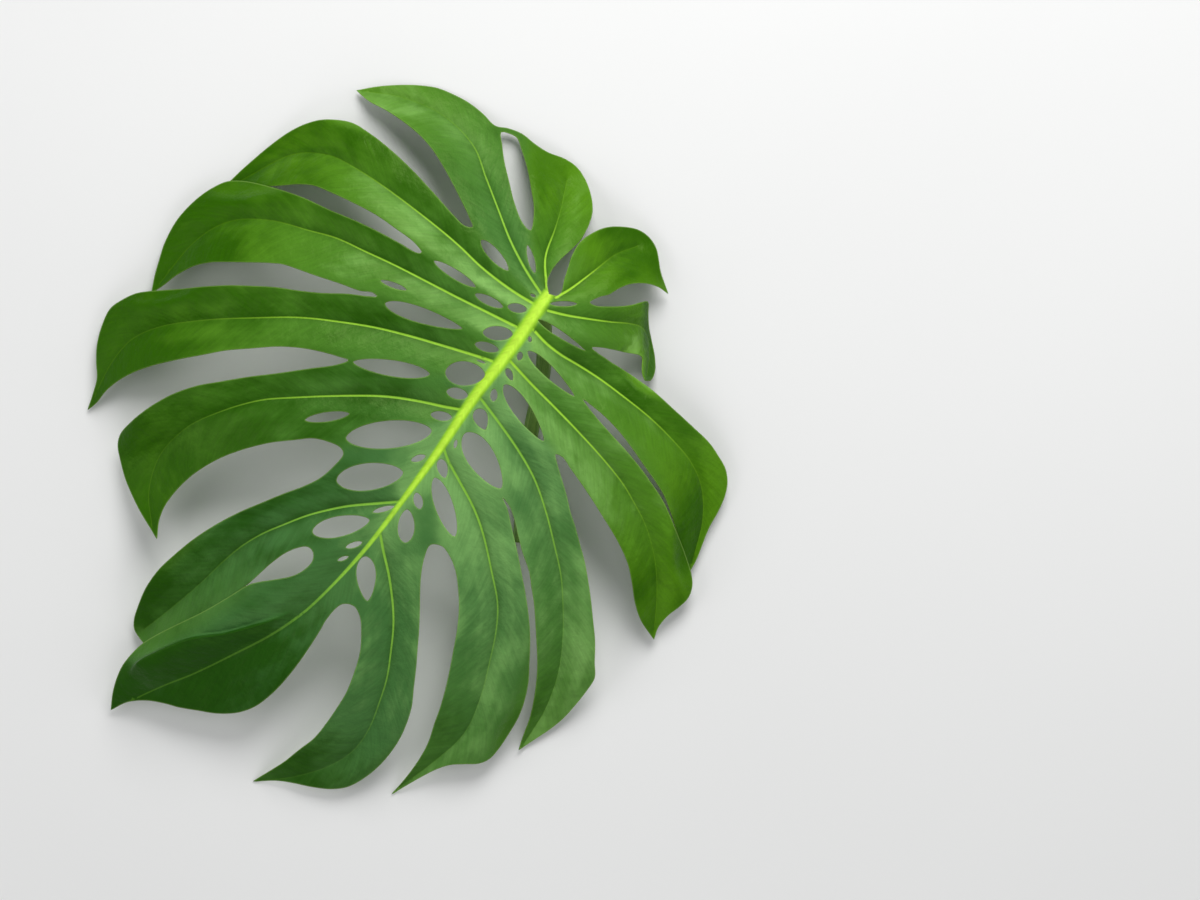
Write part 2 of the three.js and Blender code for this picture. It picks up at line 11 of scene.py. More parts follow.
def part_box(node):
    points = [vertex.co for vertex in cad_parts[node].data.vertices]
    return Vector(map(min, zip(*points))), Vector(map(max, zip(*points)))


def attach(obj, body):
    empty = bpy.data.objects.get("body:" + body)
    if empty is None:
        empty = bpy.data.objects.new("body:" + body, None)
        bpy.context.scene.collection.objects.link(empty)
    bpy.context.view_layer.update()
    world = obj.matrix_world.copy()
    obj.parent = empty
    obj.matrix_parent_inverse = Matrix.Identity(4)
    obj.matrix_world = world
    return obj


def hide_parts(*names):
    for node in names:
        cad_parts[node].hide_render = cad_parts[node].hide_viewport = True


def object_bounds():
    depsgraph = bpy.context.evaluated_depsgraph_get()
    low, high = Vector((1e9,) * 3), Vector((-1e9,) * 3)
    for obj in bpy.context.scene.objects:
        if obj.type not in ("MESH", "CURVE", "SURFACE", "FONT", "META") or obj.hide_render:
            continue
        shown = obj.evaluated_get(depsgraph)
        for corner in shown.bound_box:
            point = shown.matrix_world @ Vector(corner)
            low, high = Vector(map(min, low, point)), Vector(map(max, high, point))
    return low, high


# A cut monstera leaf lying face up. The blade is one sheet: its plan is triangulated with its slots and
# holes, and raised to a dome that is quilted between the veins, with the ribs standing out of it.
# The plan is in millimetres, with the petiole's joint near (0, 0) and the leaf's tip towards +Y.

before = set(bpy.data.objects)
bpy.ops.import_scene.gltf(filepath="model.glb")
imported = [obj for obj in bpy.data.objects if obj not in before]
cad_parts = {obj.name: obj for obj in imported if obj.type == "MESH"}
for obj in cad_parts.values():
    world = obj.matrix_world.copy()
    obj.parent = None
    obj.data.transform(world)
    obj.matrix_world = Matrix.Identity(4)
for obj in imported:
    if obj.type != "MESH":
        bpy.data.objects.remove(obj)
cad_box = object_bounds()

MM = 0.001
DIAGONAL = 0.5**0.5

# The blade's shape, as in the CAD part
CROWN = np.array([-10.0, 150.0])  # plan position of the dome's top
CROWN_HEIGHT = 66
DOME_POWER = 3
FOOT_SPREAD = 0.05  # how gradually one lobe's foot gives way to the next, round the dome
QUILT_HEIGHT = 7
QUILT_WIDTH = 20
TILT = 4  # how far a lobe's edge nearest the petiole stands above its vein
TILT_START = 0.45  # share of the way along the lobe
NEIGHBOUR_POWER = 4
BLEND_POWER = 6
CAD_THICKNESS = 1
THICKNESS = 0.7

# What the CAD part leaves out
RIPPLE = 0.9  # height of the gentle swells all over the blade
RIPPLE_LENGTH = 34
PUCKER = 0.55  # height of the puckers that run beside the streaks
PUCKER_WIDTH = 9
PUCKER_LENGTH = 34
PLEAT_HEIGHT = 7  # the pleat down the right of the tip lobe
PLEAT_REACH = 13  # how far its gentle side runs towards the midrib
PLEAT_FALL = 3  # how far its steep side runs
PLEAT_LEAN = 2.5  # how far its crest leans over the other side
PLEAT_SHADE = 26  # how far the light and shade beside it reach
CURL_SLOPE = 1.1  # how steeply the small left lobe's end rolls down
CURL_SOFTNESS = 1.5
MIDRIB_WIDTHS = [  # distance along it, and half its width there
    (0, 4.7), (12, 5.5), (60, 5.1), (120, 3.9), (200, 2.2), (290, 1.0), (380, 0.7), (520, 0.4),
]
MIDRIB_RISE = 0.34  # its height above the blade, as a share of its half width
MIDRIB_KEEL = 1.25  # its depth below
VEIN_WIDTHS = [(0, 1.1), (0.3, 0.72), (0.6, 0.52), (1, 0.35)]  # share of its length, and half its width
VEIN_RISE = 0.6
VEIN_KEEL = 1.1
FURROW_DEPTH = 0.45  # the furrow that each side vein lies in
FURROW_WIDTH = 2.4
TUCK_ROUNDS = 60  # how often the tucks are evened out

# How finely the blade is meshed, in millimetres where nothing else is said
SPLINE_PARTS = 12  # steps between two points of a curve, before it is spaced evenly
VEIN_STEP = 4
CREST_STEP = 1
MARGIN_STEP = 2.2
HOLE_STEP = 2
HOLE_CORNERS = 12  # the fewest
RIB_STEP = 3.5
MIDRIB_ROWS = (0, -0.4, 0.4, -0.75, 0.75, -1, 1, -1.35, 1.35)  # in half widths of the midrib
VEIN_ROWS = (0, -1, 1, -2, 2)
PLEAT_ROWS = (0, 1, 2.1, 3.4, 5.5, -1.3, -3, -5.5)
RIM_ROW = 1.1  # distance of the first row of vertices in from a margin
INNER_STEP = 3.5
ROW_HEIGHT = 0.866  # of the inner triangles, as a share of their sides
RIB_GAP = 0.55  # the least distance from a rib's vertices to those placed before them
RIM_GAP = 0.7
INNER_GAP = 0.6 * INNER_STEP
WELD = 1e-5
LEAST_OFF = 0.01  # from a vein, so that nothing is divided by 0
NO_RIB = 9  # in half widths: too far off a rib for it to show
RIM_SHARE = 0.2  # the rounded rim's most overhang, as a share of two steps along the margin
UV_MARGIN = 0.01

# The blade's colours
GLOW_REACH = 26  # how far the pale yellow beside the midrib reaches
STREAK_LEAN = 35  # degrees between the fine streaks and the vein beside them
WARMING = 0.9  # how much yellower a lobe's end is than its base
LOBE_SHIFT = 37.0  # moves the grain's noise on from lobe to lobe
# Each runs from dark through middle to light: the dark stands for painted shade and the light for painted
# sheen. The blue greens are partly a painted reflection of the sky on the leaf's gloss.
YELLOW_GREENS = ((0.026, 0.108, 0.0005), (0.078, 0.222, 0.006), (0.22, 0.45, 0.09))
BLUE_GREENS = ((0.014, 0.074, 0.004), (0.054, 0.165, 0.04), (0.165, 0.355, 0.1))

# The camera, the lights and the floor
VIEW_CENTRE = (-121, 58.5)  # where the middle of the picture falls in the plan
AIM_HEIGHT = 0.04
CAMERA_HEIGHT = 2.6
LENS = 94.8
LIGHT_DISTANCE = 2.2
LIGHTS = [  # name, azimuth and elevation in degrees, size, power
    ("key", -55, 42, 1.4, 41), ("left", 45, 38, 1.8, 12),
    ("right", -135, 38, 1.8, 9), ("back", 135, 38, 1.8, 9),
]
WORLD_COLOUR = (0.93, 0.96, 1.0, 1.0)
WORLD_STRENGTH = 0.18
FLOOR_SIZE = 16


@dataclass
class Lobe:
    """One lobe: the vein down its middle, its margin out to its point and back to the next slot, and
    what it rests on. tuck moves its end over or under a neighbour, from tuck_from of the way along it.
    warm is how yellow its green is. The last field gives how light the lobe is on its side towards the
    petiole, near the vein's start and near its end, and then on its side towards the leaf's tip: painted
    sheen where a side is turned to the light and painted shade where it is turned away, with some of the
    leaf's own tone."""

    side: str
    vein: list
    out: list
    tip: tuple
    back: list
    foot: tuple
    slot: tuple = None
    tuck: tuple = (0, 0, 0)
    tuck_from: float = 0.6
    warm: float = 0.5
    sheen_shade_and_tone: tuple = (0.4, 0.2, 0.4, 0.2)


# In order round the margin from the notch at the petiole: up the right side, over the tip and down
# the left side.
LOBES = [
    Lobe("right", vein=[(1, -3), (20, -20), (32, -42), (43, -60), (56, -78)],
        out=[(5, -7), (9, -16), (10.5, -27), (10.5, -40), (11.5, -52), (22, -74), (40, -87), (58, -92)],
        tip=(70, -90),
        back=[(84, -83.5), (96, -81), (110, -79.5), (121, -74.5), (129, -68.5)],
        foot=(58, -92), warm=0.75, sheen_shade_and_tone=(0.38, 0.5, 0.27, 0.3), tuck=(-2, 0, -3), tuck_from=0.25),
    Lobe("right", vein=[(2, 3), (25, -2), (50, -10), (75, -21), (100, -32), (128, -44), (165, -44),
            (200, -30), (226, -11)],
        out=[(142, -68.5), (156, -67), (170, -63), (184, -57), (196, -48), (208, -36), (219, -23)],
        tip=(229, -9),
        back=[(214, -10), (200, -14), (185, -17), (165, -19), (148, -18), (130, -14), (110, -8), (84, 1)],
        slot=(78, 4), foot=(229, -9), warm=0.5, sheen_shade_and_tone=(0.42, 0.62, 0.42, 0.75)),
    Lobe("right", vein=[(-1, 13), (20, 18), (50, 22), (75, 22.5), (100, 24.5), (150, 31), (180, 37),
            (203, 44), (228, 64), (246, 108)],
        out=[(83, 8), (95, 8.5), (120, 7), (150, 6), (175, 7), (195, 9.5), (210, 13), (222, 21), (232, 31),
            (241, 47), (246, 65), (249, 90)],
        tip=(250, 116),
        back=[(240, 106), (222, 92), (205, 78), (195, 71), (180, 65), (160, 58), (140, 52), (120, 48.5),
            (103, 46)],
        slot=(91.5, 47.5), foot=(250, 100), warm=0.75, sheen_shade_and_tone=(0.2, 0.1, 0.75, 0.15), tuck=(0, 9, -5),
        tuck_from=0.78),
    Lobe("right", vein=[(-4, 36), (20, 44), (50, 54), (100, 70), (125, 79), (150, 88), (170, 99), (200, 116),
            (224, 140), (234, 172), (232, 210)],
        out=[(94, 50.5), (110, 55), (130, 61), (150, 68), (170, 76), (190, 83), (205, 89.5), (220, 97),
            (235, 105.5), (245, 113), (251, 120.5), (256, 136), (258, 155), (257, 171), (252, 187),
            (245, 199), (238, 210)],
        tip=(231, 219),
        back=[(228.5, 209), (226, 197), (221, 186), (212, 175), (200, 164), (188, 153), (175, 141),
            (165, 133), (155, 128), (140, 121), (120, 111), (105, 104), (97, 98)],
        slot=(91.5, 97.5), foot=(257, 165), warm=0.75, sheen_shade_and_tone=(0.2, 0.0, 0.6, 0.05), tuck=(-2, 8, -5),
        tuck_from=0.85),
    Lobe("right", vein=[(-10, 69), (0, 74), (30, 90), (50, 101), (75, 116), (100, 134), (125, 154),
            (150, 179), (180, 211), (203, 241), (213, 265), (212, 290), (202, 324)],
        out=[(97, 103), (110, 113), (125, 127), (140, 139), (155, 150), (170, 163), (185, 177), (200, 193),
            (213, 208), (223, 219), (231, 228), (237, 236), (242, 248), (244.5, 260), (241, 272), (232, 288),
            (222, 299), (212, 308), (206, 319)],
        tip=(200, 333),
        back=[(198.5, 322), (199, 310), (197, 297), (192, 282), (183, 265), (172, 248), (160, 231),
            (148, 214), (135, 199), (120, 182), (105, 169), (90, 159), (80, 153.5)],
        slot=(71.5, 149.5), foot=(217, 314), warm=0.75, sheen_shade_and_tone=(0.17, 0.0, 0.4, 0.0)),
    Lobe("right", vein=[(-20, 114), (-10, 121), (10, 134), (30, 149), (50, 168), (82, 202), (100, 223),
            (117, 253), (128, 282), (129, 315), (115, 342), (92, 360)],
        out=[(75, 158), (90, 178), (105, 198), (120, 217), (133, 235), (145, 252), (155, 272), (161, 292),
            (164.5, 312), (165, 326), (161, 334), (150, 342), (135, 350), (115, 356.5), (100, 360)],
        tip=(82, 363.5),
        back=[(91, 353), (96.5, 340), (98.5, 325), (98, 309), (95, 293), (89, 275), (80, 257), (70, 241),
            (58, 226), (48, 214), (38, 207.5), (27, 203.5)],
        slot=(21.5, 205.5), foot=(150, 342), warm=0.6, sheen_shade_and_tone=(0.2, 0.06, 0.2, 0.05)),
    Lobe("right", vein=[(-37, 201), (-25, 215), (-10, 233), (0, 248), (8, 262), (16, 280), (23, 297),
            (28, 315), (31, 335), (33, 360), (38, 395), (43, 425)],
        out=[(20, 216), (21, 232), (26, 247), (33, 262), (41, 281), (48, 298), (55, 319), (60, 338),
            (64, 360), (66, 379), (64.5, 398), (60, 414), (54.5, 427), (49, 432.5), (42, 434)],
        tip=(30.5, 434),
        back=[(27, 420), (21, 400), (14, 378), (8.5, 357), (4, 338), (2.5, 325), (1.5, 310), (-1, 295),
            (-5, 285), (-10, 278.5)],
        slot=(-16, 278), foot=(55, 428), warm=0.05, sheen_shade_and_tone=(0.2, 0.05, 0.28, 0.2), tuck=(-4, 0, -3),
        tuck_from=0.5),
    Lobe("right", vein=[(-3, 0), (-5, 10), (-13, 50), (-20, 100), (-30, 150), (-38, 200), (-44, 245),
            (-46, 290), (-45, 320), (-40, 350), (-30, 385), (-19, 420), (-9, 445), (6, 488)],
        out=[(-21, 283), (-22, 290), (-21, 297), (-18, 305), (-10, 317), (-3, 327), (1, 334.5), (6, 357),
            (11.5, 379), (18.5, 401), (24.5, 421), (27.5, 437), (26.5, 455), (22.5, 468), (16, 481)],
        tip=(8, 493),
        back=[(3, 478), (-8, 464), (-20, 455), (-30, 449), (-42, 440), (-55, 430), (-66, 417), (-72, 403),
            (-74, 385), (-73, 365), (-70, 345), (-65, 322), (-61.5, 308), (-62, 292)],
        slot=(-70, 286), foot=(8, 493), warm=-0.2, sheen_shade_and_tone=(0.5, 0.02, 0.5, 0.02), tuck=(4, 0, 4)),
    Lobe("left", vein=[(-45, 231), (-55, 238), (-75, 251), (-100, 272), (-118, 294), (-130, 311), (-140, 331),
            (-148, 350), (-152, 372), (-148, 395), (-135, 422), (-116, 448)],
        out=[(-80, 289), (-91, 299), (-100, 310), (-108, 325), (-115, 342), (-118, 355), (-121, 372),
            (-122.5, 388), (-120.5, 405), (-119, 420), (-116, 435)],
        tip=(-112, 453),
        back=[(-125, 438), (-138, 428), (-150, 420), (-162, 410), (-170, 399), (-174.5, 382), (-175.5, 365),
            (-173, 345), (-168, 329), (-160, 313), (-150, 300), (-140, 287), (-130, 275), (-120, 263),
            (-110, 252), (-100, 241.5), (-90, 230), (-82, 218), (-78.5, 208)],
        slot=(-86, 202), foot=(-118, 443), warm=-0.05, sheen_shade_and_tone=(0.62, 0.2, 0.6, 0.15)),
    Lobe("left", vein=[(-32, 146), (-40, 150), (-60, 156), (-80, 162), (-100, 171), (-130, 190), (-150, 204),
            (-165, 221), (-178, 241), (-195, 270), (-206, 300), (-205, 335), (-200, 374)],
        out=[(-97, 203.5), (-108, 208.5), (-118, 216), (-130, 227), (-141, 240), (-152, 256), (-162, 271),
            (-170, 284), (-177, 297), (-183, 310), (-190, 324), (-194, 336), (-197, 350), (-199, 365)],
        tip=(-200, 380),
        back=[(-203, 366), (-207, 350), (-211, 337), (-216, 327), (-224, 318), (-232, 309.5), (-235.5, 301),
            (-235, 290), (-232, 275), (-228, 260), (-222, 247), (-213, 233), (-201, 219.5), (-187, 204.5),
            (-172, 191.5), (-158, 181), (-145, 172), (-130, 162), (-114, 152), (-102, 144.5)],
        slot=(-92.5, 140.5), foot=(-204, 366), warm=0.1, sheen_shade_and_tone=(0.8, 0.6, 0.82, 0.2)),
    Lobe("left", vein=[(-25, 97), (-50, 100.5), (-75, 105), (-100, 112), (-125, 124), (-150, 139),
            (-170, 152), (-185, 165), (-207, 187), (-226, 212), (-240, 242), (-247, 272)],
        out=[(-101, 141), (-112, 146), (-124, 153.5), (-135, 160), (-150, 167.5), (-160, 175), (-172, 184),
            (-185, 195.5), (-207, 216), (-218, 228.5), (-228, 242), (-236, 255), (-241, 266)],
        tip=(-248, 280),
        back=[(-251, 264), (-254, 248), (-255, 235), (-254, 220), (-252, 205), (-249, 193), (-240, 184),
            (-228, 171.5), (-213, 159), (-200, 148.5), (-188, 139.5), (-175, 130.5), (-162, 123), (-150, 116),
            (-140, 111), (-128, 103.5), (-118, 98), (-106, 91.5)],
        slot=(-98, 86), foot=(-255, 235), warm=0.2, sheen_shade_and_tone=(0.75, 0.75, 0.75, 0.35)),
    Lobe("left", vein=[(-20, 59), (-45, 60), (-70, 60), (-100, 60.5), (-130, 62), (-155, 65), (-170, 69),
            (-185, 73.5), (-203, 82), (-222, 95), (-240, 112), (-257, 132)],
        out=[(-104, 83.5), (-115, 85.5), (-130, 88), (-145, 91), (-160, 94.5), (-175, 98), (-190, 102.5),
            (-203, 108), (-216, 116.5), (-229, 126), (-243, 133)],
        tip=(-262, 137),
        back=[(-257.5, 128), (-256, 115), (-257.5, 103), (-257.5, 93), (-253, 84), (-246, 78), (-235, 72),
            (-222, 66), (-210, 61), (-198, 56), (-185, 51.5), (-170, 48.5), (-155, 46), (-140, 44.5),
            (-120, 43.5), (-100, 42.3)],
        slot=(-82, 39.5), foot=(-258, 100), warm=0.75, sheen_shade_and_tone=(0.6, 0.35, 0.65, 0.2)),
    Lobe("left", vein=[(-14, 28), (-30, 28.5), (-45, 26.5), (-60, 22.5), (-80, 18), (-100, 15), (-130, 11.5),
            (-155, 11), (-180, 13), (-202, 21), (-222, 38), (-240, 66)],
        out=[(-100, 36.8), (-120, 36.8), (-138, 39), (-155, 42), (-170, 44.5), (-185, 47.5), (-198, 52),
            (-210, 57), (-222, 62.5), (-234, 68)],
        tip=(-243.5, 73),
        back=[(-240.5, 62), (-235, 50), (-229, 37), (-225, 24), (-220, 12), (-213, 2.5), (-204, -3.5),
            (-192, -6.5), (-180, -8.5), (-160, -8), (-140, -7), (-120, -6), (-105, -4), (-90, -1),
            (-75, 2.5)],
        slot=(-57.5, 5), foot=(-218, 8), warm=0.85, sheen_shade_and_tone=(0.15, 0.5, 0.55, 0.1), tuck=(0, 5, -3),
        tuck_from=0.7),
    Lobe("left", vein=[(-12, 9), (-25, 1), (-40, -10), (-55, -22), (-65, -31), (-76, -37), (-92, -28),
            (-105, -12)],
        out=[(-62, 0), (-70, -6), (-79, -12), (-91, -19.5), (-97, -14), (-102, -9.5)],
        tip=(-107, -7.5),
        back=[(-110, -11), (-107, -19), (-99, -27), (-88, -34.5), (-78, -41), (-70, -48), (-63, -54.5),
            (-60, -50), (-56, -42.5), (-50, -34.5), (-43, -27), (-37, -21.5)],
        slot=(-31, -19.5), foot=(-94, -31), warm=0.75, sheen_shade_and_tone=(0.3, 0.75, 0.4, 0.7)),
    Lobe("left", vein=[(-9, -3), (-12, -15), (-14.5, -30), (-17, -45), (-20, -62), (-28, -80)],
        out=[(-34, -29), (-38, -35), (-40.5, -43), (-44, -51), (-50, -59), (-58, -66), (-66, -70)],
        tip=(-74, -71.5),
        back=[(-66, -75), (-56, -80), (-48, -86), (-40, -91), (-30, -93), (-20, -91), (-10, -84), (0, -73),
            (5, -62), (7.5, -50), (5.5, -38), (1, -28), (-4, -18), (-9, -10), (-9, -5)],
        slot=(-3, -1), foot=(-40, -91), warm=0.9, sheen_shade_and_tone=(0.4, 0.08, 0.38, 0.15), tuck=(4, 0, 3),
        tuck_from=0.25),
]
ROUND_ENDED = 0  # the first lobe; the others come to a point
MIDRIB = 7  # the tip lobe, whose vein is the midrib
TUCKED = 0  # lies a little under its neighbour across the notch, so it tilts the other way

# The holes: middle x, y, half length, half width, angle in degrees, and how much blunter the far end is
HOLES = [
    (-17, -4, 11, 2.4, 45, 0), (-34, 15, 22.5, 2.9, 12, 0.35), (-18.5, 35.5, 2.6, 1.9, -40, 0),
    (-50, 43, 26, 4.8, 1, 0.35), (-22.5, 50.8, 3.8, 2.6, -60, 0), (-27, 67, 5.6, 2.9, -20, 0.2),
    (-57, 80.5, 27.5, 7, -10, 0.3), (-30, 87.6, 5.3, 3.3, -50, 0), (-36.5, 108.3, 9.2, 5.8, -24, 0.35),
    (-61, 130.5, 26.5, 11, -12, 0.25), (-36, 136.8, 3.8, 1.8, -58, 0), (-42.5, 158, 8, 4.4, -30, 0.2),
    (-65.5, 178.5, 25, 7.4, -26, 0.1), (-47, 190, 7, 4, -30, 0), (-54.5, 211, 13.5, 7, -48, -0.1),
    (-61.5, 263.5, 18, 7.8, -42, 0.3), (5, 8.8, 2.6, 1.6, 20, 0), (27, -11, 12, 2.8, -30, -0.1),
    (49.5, 7.6, 16.5, 4.8, -3, 0.1), (6.5, 25, 8, 4, 35, 0), (26.5, 36.8, 12.5, 3.8, 20, 0),
    (61, 41, 19.8, 3.9, 13, 0), (3, 50.3, 12, 6, 42, 0), (1.3, 64.3, 10, 4, 30, 0),
    (54.5, 82.5, 32.5, 6.3, 27, 0.3), (89, 82, 11.3, 2.5, 25, 0), (-3.5, 75.8, 4.2, 1.2, 25, 0),
    (-1.5, 91.5, 16, 10, 42, 0.1), (-8.3, 107.3, 8.8, 4.8, 33, 0), (43, 130, 31, 6.6, 36, -0.1),
    (-12, 129, 8.8, 4, 36, 0), (7, 169, 34.5, 11.3, 50, 0), (-23, 165.8, 6.3, 2.9, 64, 0),
    (-6, 203.5, 27, 11, 52, 0.1), (-32, 214.5, 9, 2.3, 60, 0), (52, 194, 18, 4, 53, 0),
    (-17.5, 248, 23.5, 8.3, 57, 0.15), (-35.5, 251.3, 7, 2.5, 63, 0), (-37, 265.3, 4.8, 1.8, 66, 0),
]
HOLE_POINTEDNESS = 1.15

# The slot between the first two lobes, which a thin strip of margin still closes
CLOSED_SLOT = [
    (44, -27), (52, -26.5), (70, -34), (85, -43), (100, -52), (112, -60.5), (122, -68.5), (117, -72.5),
    (110, -74.5), (100, -70), (85, -62), (70, -52), (55, -41),
]
# The crest of the pleat in the tip lobe, and the line at which the small left lobe's end rolls down
PLEAT = [(-42, 316), (-36, 334), (-29, 352), (-16, 377), (0, 400), (11, 427), (16, 445), (16, 460)]
CURL_LINE = -112.5  # x + y along it
CURLED = 13

# The petiole
JOINT = (-4, 8)
JOINT_DROP = 9
SLOPE_REACH = 5
PETIOLE_RADIUS = 6.5
KNEE_RADIUS = 7
TOP_OVERLAP = 3  # how far its top reaches up into the midrib's foot
KNEE_LENGTH = 8
PETIOLE_BENDS = [(-12, 8, -20), (-36, 32, -31)]  # from the joint
PETIOLE_SAG = 0.6  # share of the way to the cut end at which it nears the ground
PETIOLE_SAG_HEIGHT = 7  # above the cut end
PETIOLE_CUT = (-128, 158)  # plan position of the cut end
GROUND_GAP = 0.2
ROUTE_STEP = 2.5
PETIOLE_SIDES = 36
WRINKLE = 0.25  # height of the knee's wrinkles
WRINKLE_TURN = 1.5  # radians between two rings
SKIN_DEPTH = 0.1  # how far the skin lies inside the CAD's
GROOVE = 0.16  # depth of the groove on top, as a share of the radius
GROOVE_SHARPNESS = 0.02
CUT_RINGS = (0.9, 0.6, 0.3)  # rings across the cut, as shares of its radius
CUT_BULGE = 0.3


def smoothstep(x, low, high):
    """0 up to low and 1 from high on, with a smooth rise between."""
    t = np.clip((x - low) / (high - low), 0, 1)
    return t * t * (3 - 2 * t)


def spline(points, spacing, closed=False):
    """A centripetal Catmull-Rom curve through points, at an even spacing, and how many points on each is."""
    p = np.array(points, float)
    ends = (p[-1:], p[:2]) if closed else (2 * p[:1] - p[1:2], 2 * p[-1:] - p[-2:-1])
    p = np.vstack([ends[0], p, ends[1]])
    share = np.linspace(0, 1, SPLINE_PARTS, endpoint=False)[:, None]
    fine, order = [], []
    for i, (a, b, c, d) in enumerate(zip(p, p[1:], p[2:], p[3:])):
        t1 = np.linalg.norm(b - a) ** 0.5
        t2 = t1 + np.linalg.norm(c - b) ** 0.5
        t3 = t2 + np.linalg.norm(d - c) ** 0.5
        t = t1 + (t2 - t1) * share
        ab = ((t1 - t) * a + t * b) / t1
        bc = ((t2 - t) * b + (t - t1) * c) / (t2 - t1)
        cd = ((t3 - t) * c + (t - t2) * d) / (t3 - t2)
        abc = ((t2 - t) * ab + t * bc) / t2
        bcd = ((t3 - t) * bc + (t - t1) * cd) / (t3 - t1)
        fine.append(((t2 - t) * abc + (t - t1) * bcd) / (t2 - t1))
        order.append(i + share[:, 0])
    fine = np.vstack([*fine, p[-2:-1]])
    order = np.append(np.concatenate(order), len(p) - 3)
    run = np.append(0, np.cumsum(np.linalg.norm(np.diff(fine, axis=0), axis=1)))
    at = np.linspace(0, run[-1], max(3, round(run[-1] / spacing) + 1))
    places = np.column_stack([np.interp(at, run, column) for column in fine.T])
    return places, np.interp(at, run, order)


def left_of(ahead, least=1e-6):
    """Unit vectors to the left of those directions, and shorter ones where they are shorter than least."""
    left = np.column_stack([-ahead[:, 1], ahead[:, 0]])
    return left / np.maximum(np.hypot(*ahead.T), least)[:, None]


def nearest_of(points, places):
    """For each place, which of the points is nearest and how far away it is."""
    tree = KDTree(len(points))
    for i, (x, y) in enumerate(points):
        tree.insert((x, y, 0), i)
    tree.balance()
    found = [tree.find((x, y, 0)) for x, y in places]
    return np.array([f[1] for f in found]), np.array([f[2] for f in found])


class Vein:
    """A vein as short straight steps, with the distance from its start to each."""

    def __init__(self, points):
        self.points = spline(points, VEIN_STEP)[0]
        steps = np.diff(self.points, axis=0)
        self.run = np.append(0, np.cumsum(np.hypot(*steps.T)))
        self.length = self.run[-1]

    def nearest(self, places):
        """For each place: how far off the vein it is, how far along in millimetres, and to which side,
        which is 1 on the left, -1 on the right, and between them round the vein's ends."""
        a, d = self.points[:-1], np.diff(self.points, axis=0)
        rel = places[:, None] - a
        share = np.clip((rel * d).sum(2) / (d * d).sum(1), 0, 1)
        gap = rel - share[..., None] * d
        off = np.hypot(gap[..., 0], gap[..., 1])
        best = off.argmin(1)
        rows = np.arange(len(places))
        step = np.hypot(*d.T)
        along = self.run[best] + share[rows, best] * step[best]
        cross = d[best, 0] * rel[rows, best, 1] - d[best, 1] * rel[rows, best, 0]
        off = np.maximum(off[rows, best], LEAST_OFF)
        return off, along, cross / (step[best] * off)


VEINS = [Vein(lobe.vein) for lobe in LOBES]
LENGTHS = np.array([vein.length for vein in VEINS])
SIDES = np.array([-1 if lobe.side == "right" else 1 for lobe in LOBES])
TILTS = np.array([-TILT if k == TUCKED else TILT for k in range(len(LOBES))])


class Near:
    """Where each place lies among the veins. The columns of off, along, turn and share are the lobes.
    own is the lobe whose vein is nearest. across is 0 on that vein and 1 halfway to the next."""

    def __init__(self, places):
        found = np.array([vein.nearest(places) for vein in VEINS]).transpose(1, 2, 0)
        self.off, self.along, self.turn = found
        self.share = self.along / LENGTHS
        ordered = np.sort(self.off, axis=1)
        self.own = self.off.argmin(1)
        self.own_off = ordered[:, 0]
        next_off = (ordered[:, 1:] ** -NEIGHBOUR_POWER).sum(1) ** (-1 / NEIGHBOUR_POWER)
        self.half = (self.own_off + next_off) / 2
        self.across = np.minimum(1, self.own_off / self.half)
        weight = (ordered[:, :1] / self.off) ** BLEND_POWER
        self.weight = weight / weight.sum(1, keepdims=True)
        self.to_petiole = self.turn * SIDES

    def blend(self, values):
        """The lobes' values, weighted by how near each lobe's vein is."""
        return (self.weight * values).sum(1)

    def of_own(self, columns):
        return np.take_along_axis(columns, self.own[:, None], 1)[:, 0]


def dome_height(places):
    """Height of a dome that comes down to 0 at every lobe's foot."""
    arm = places - CROWN
    angle = np.arctan2(arm[:, 1], arm[:, 0])
    feet = np.array([lobe.foot for lobe in LOBES]) - CROWN
    turn = angle[:, None] - np.arctan2(feet[:, 1], feet[:, 0])
    turn = np.arctan2(np.sin(turn), np.cos(turn))
    weight = 1 / (turn**2 + FOOT_SPREAD**2)
    reach = (weight * np.hypot(*feet.T)).sum(1) / weight.sum(1)
    return CROWN_HEIGHT * (1 - (np.hypot(*arm.T) / reach) ** DOME_POWER)


def cad_height(places, near):
    """Height of the CAD blade's top: the dome, the quilting between veins, and each lobe's tilt."""
    quilt = QUILT_HEIGHT * np.minimum(1, near.half / QUILT_WIDTH) * np.sin(near.across * pi / 2)
    reach = np.minimum(1, near.off / near.half[:, None]) * smoothstep(near.share, TILT_START, 1)
    return dome_height(places) + quilt + near.blend(TILTS * near.to_petiole * reach)


def height_at(x, y):
    place = np.array([[x, y]], float)
    return float(cad_height(place, Near(place))[0])


def swell(places, length, seed):
    """Smooth noise at each place, whose swells are about that long."""
    return np.array([noise.noise(Vector((x / length, y / length, seed))) for x, y in places])


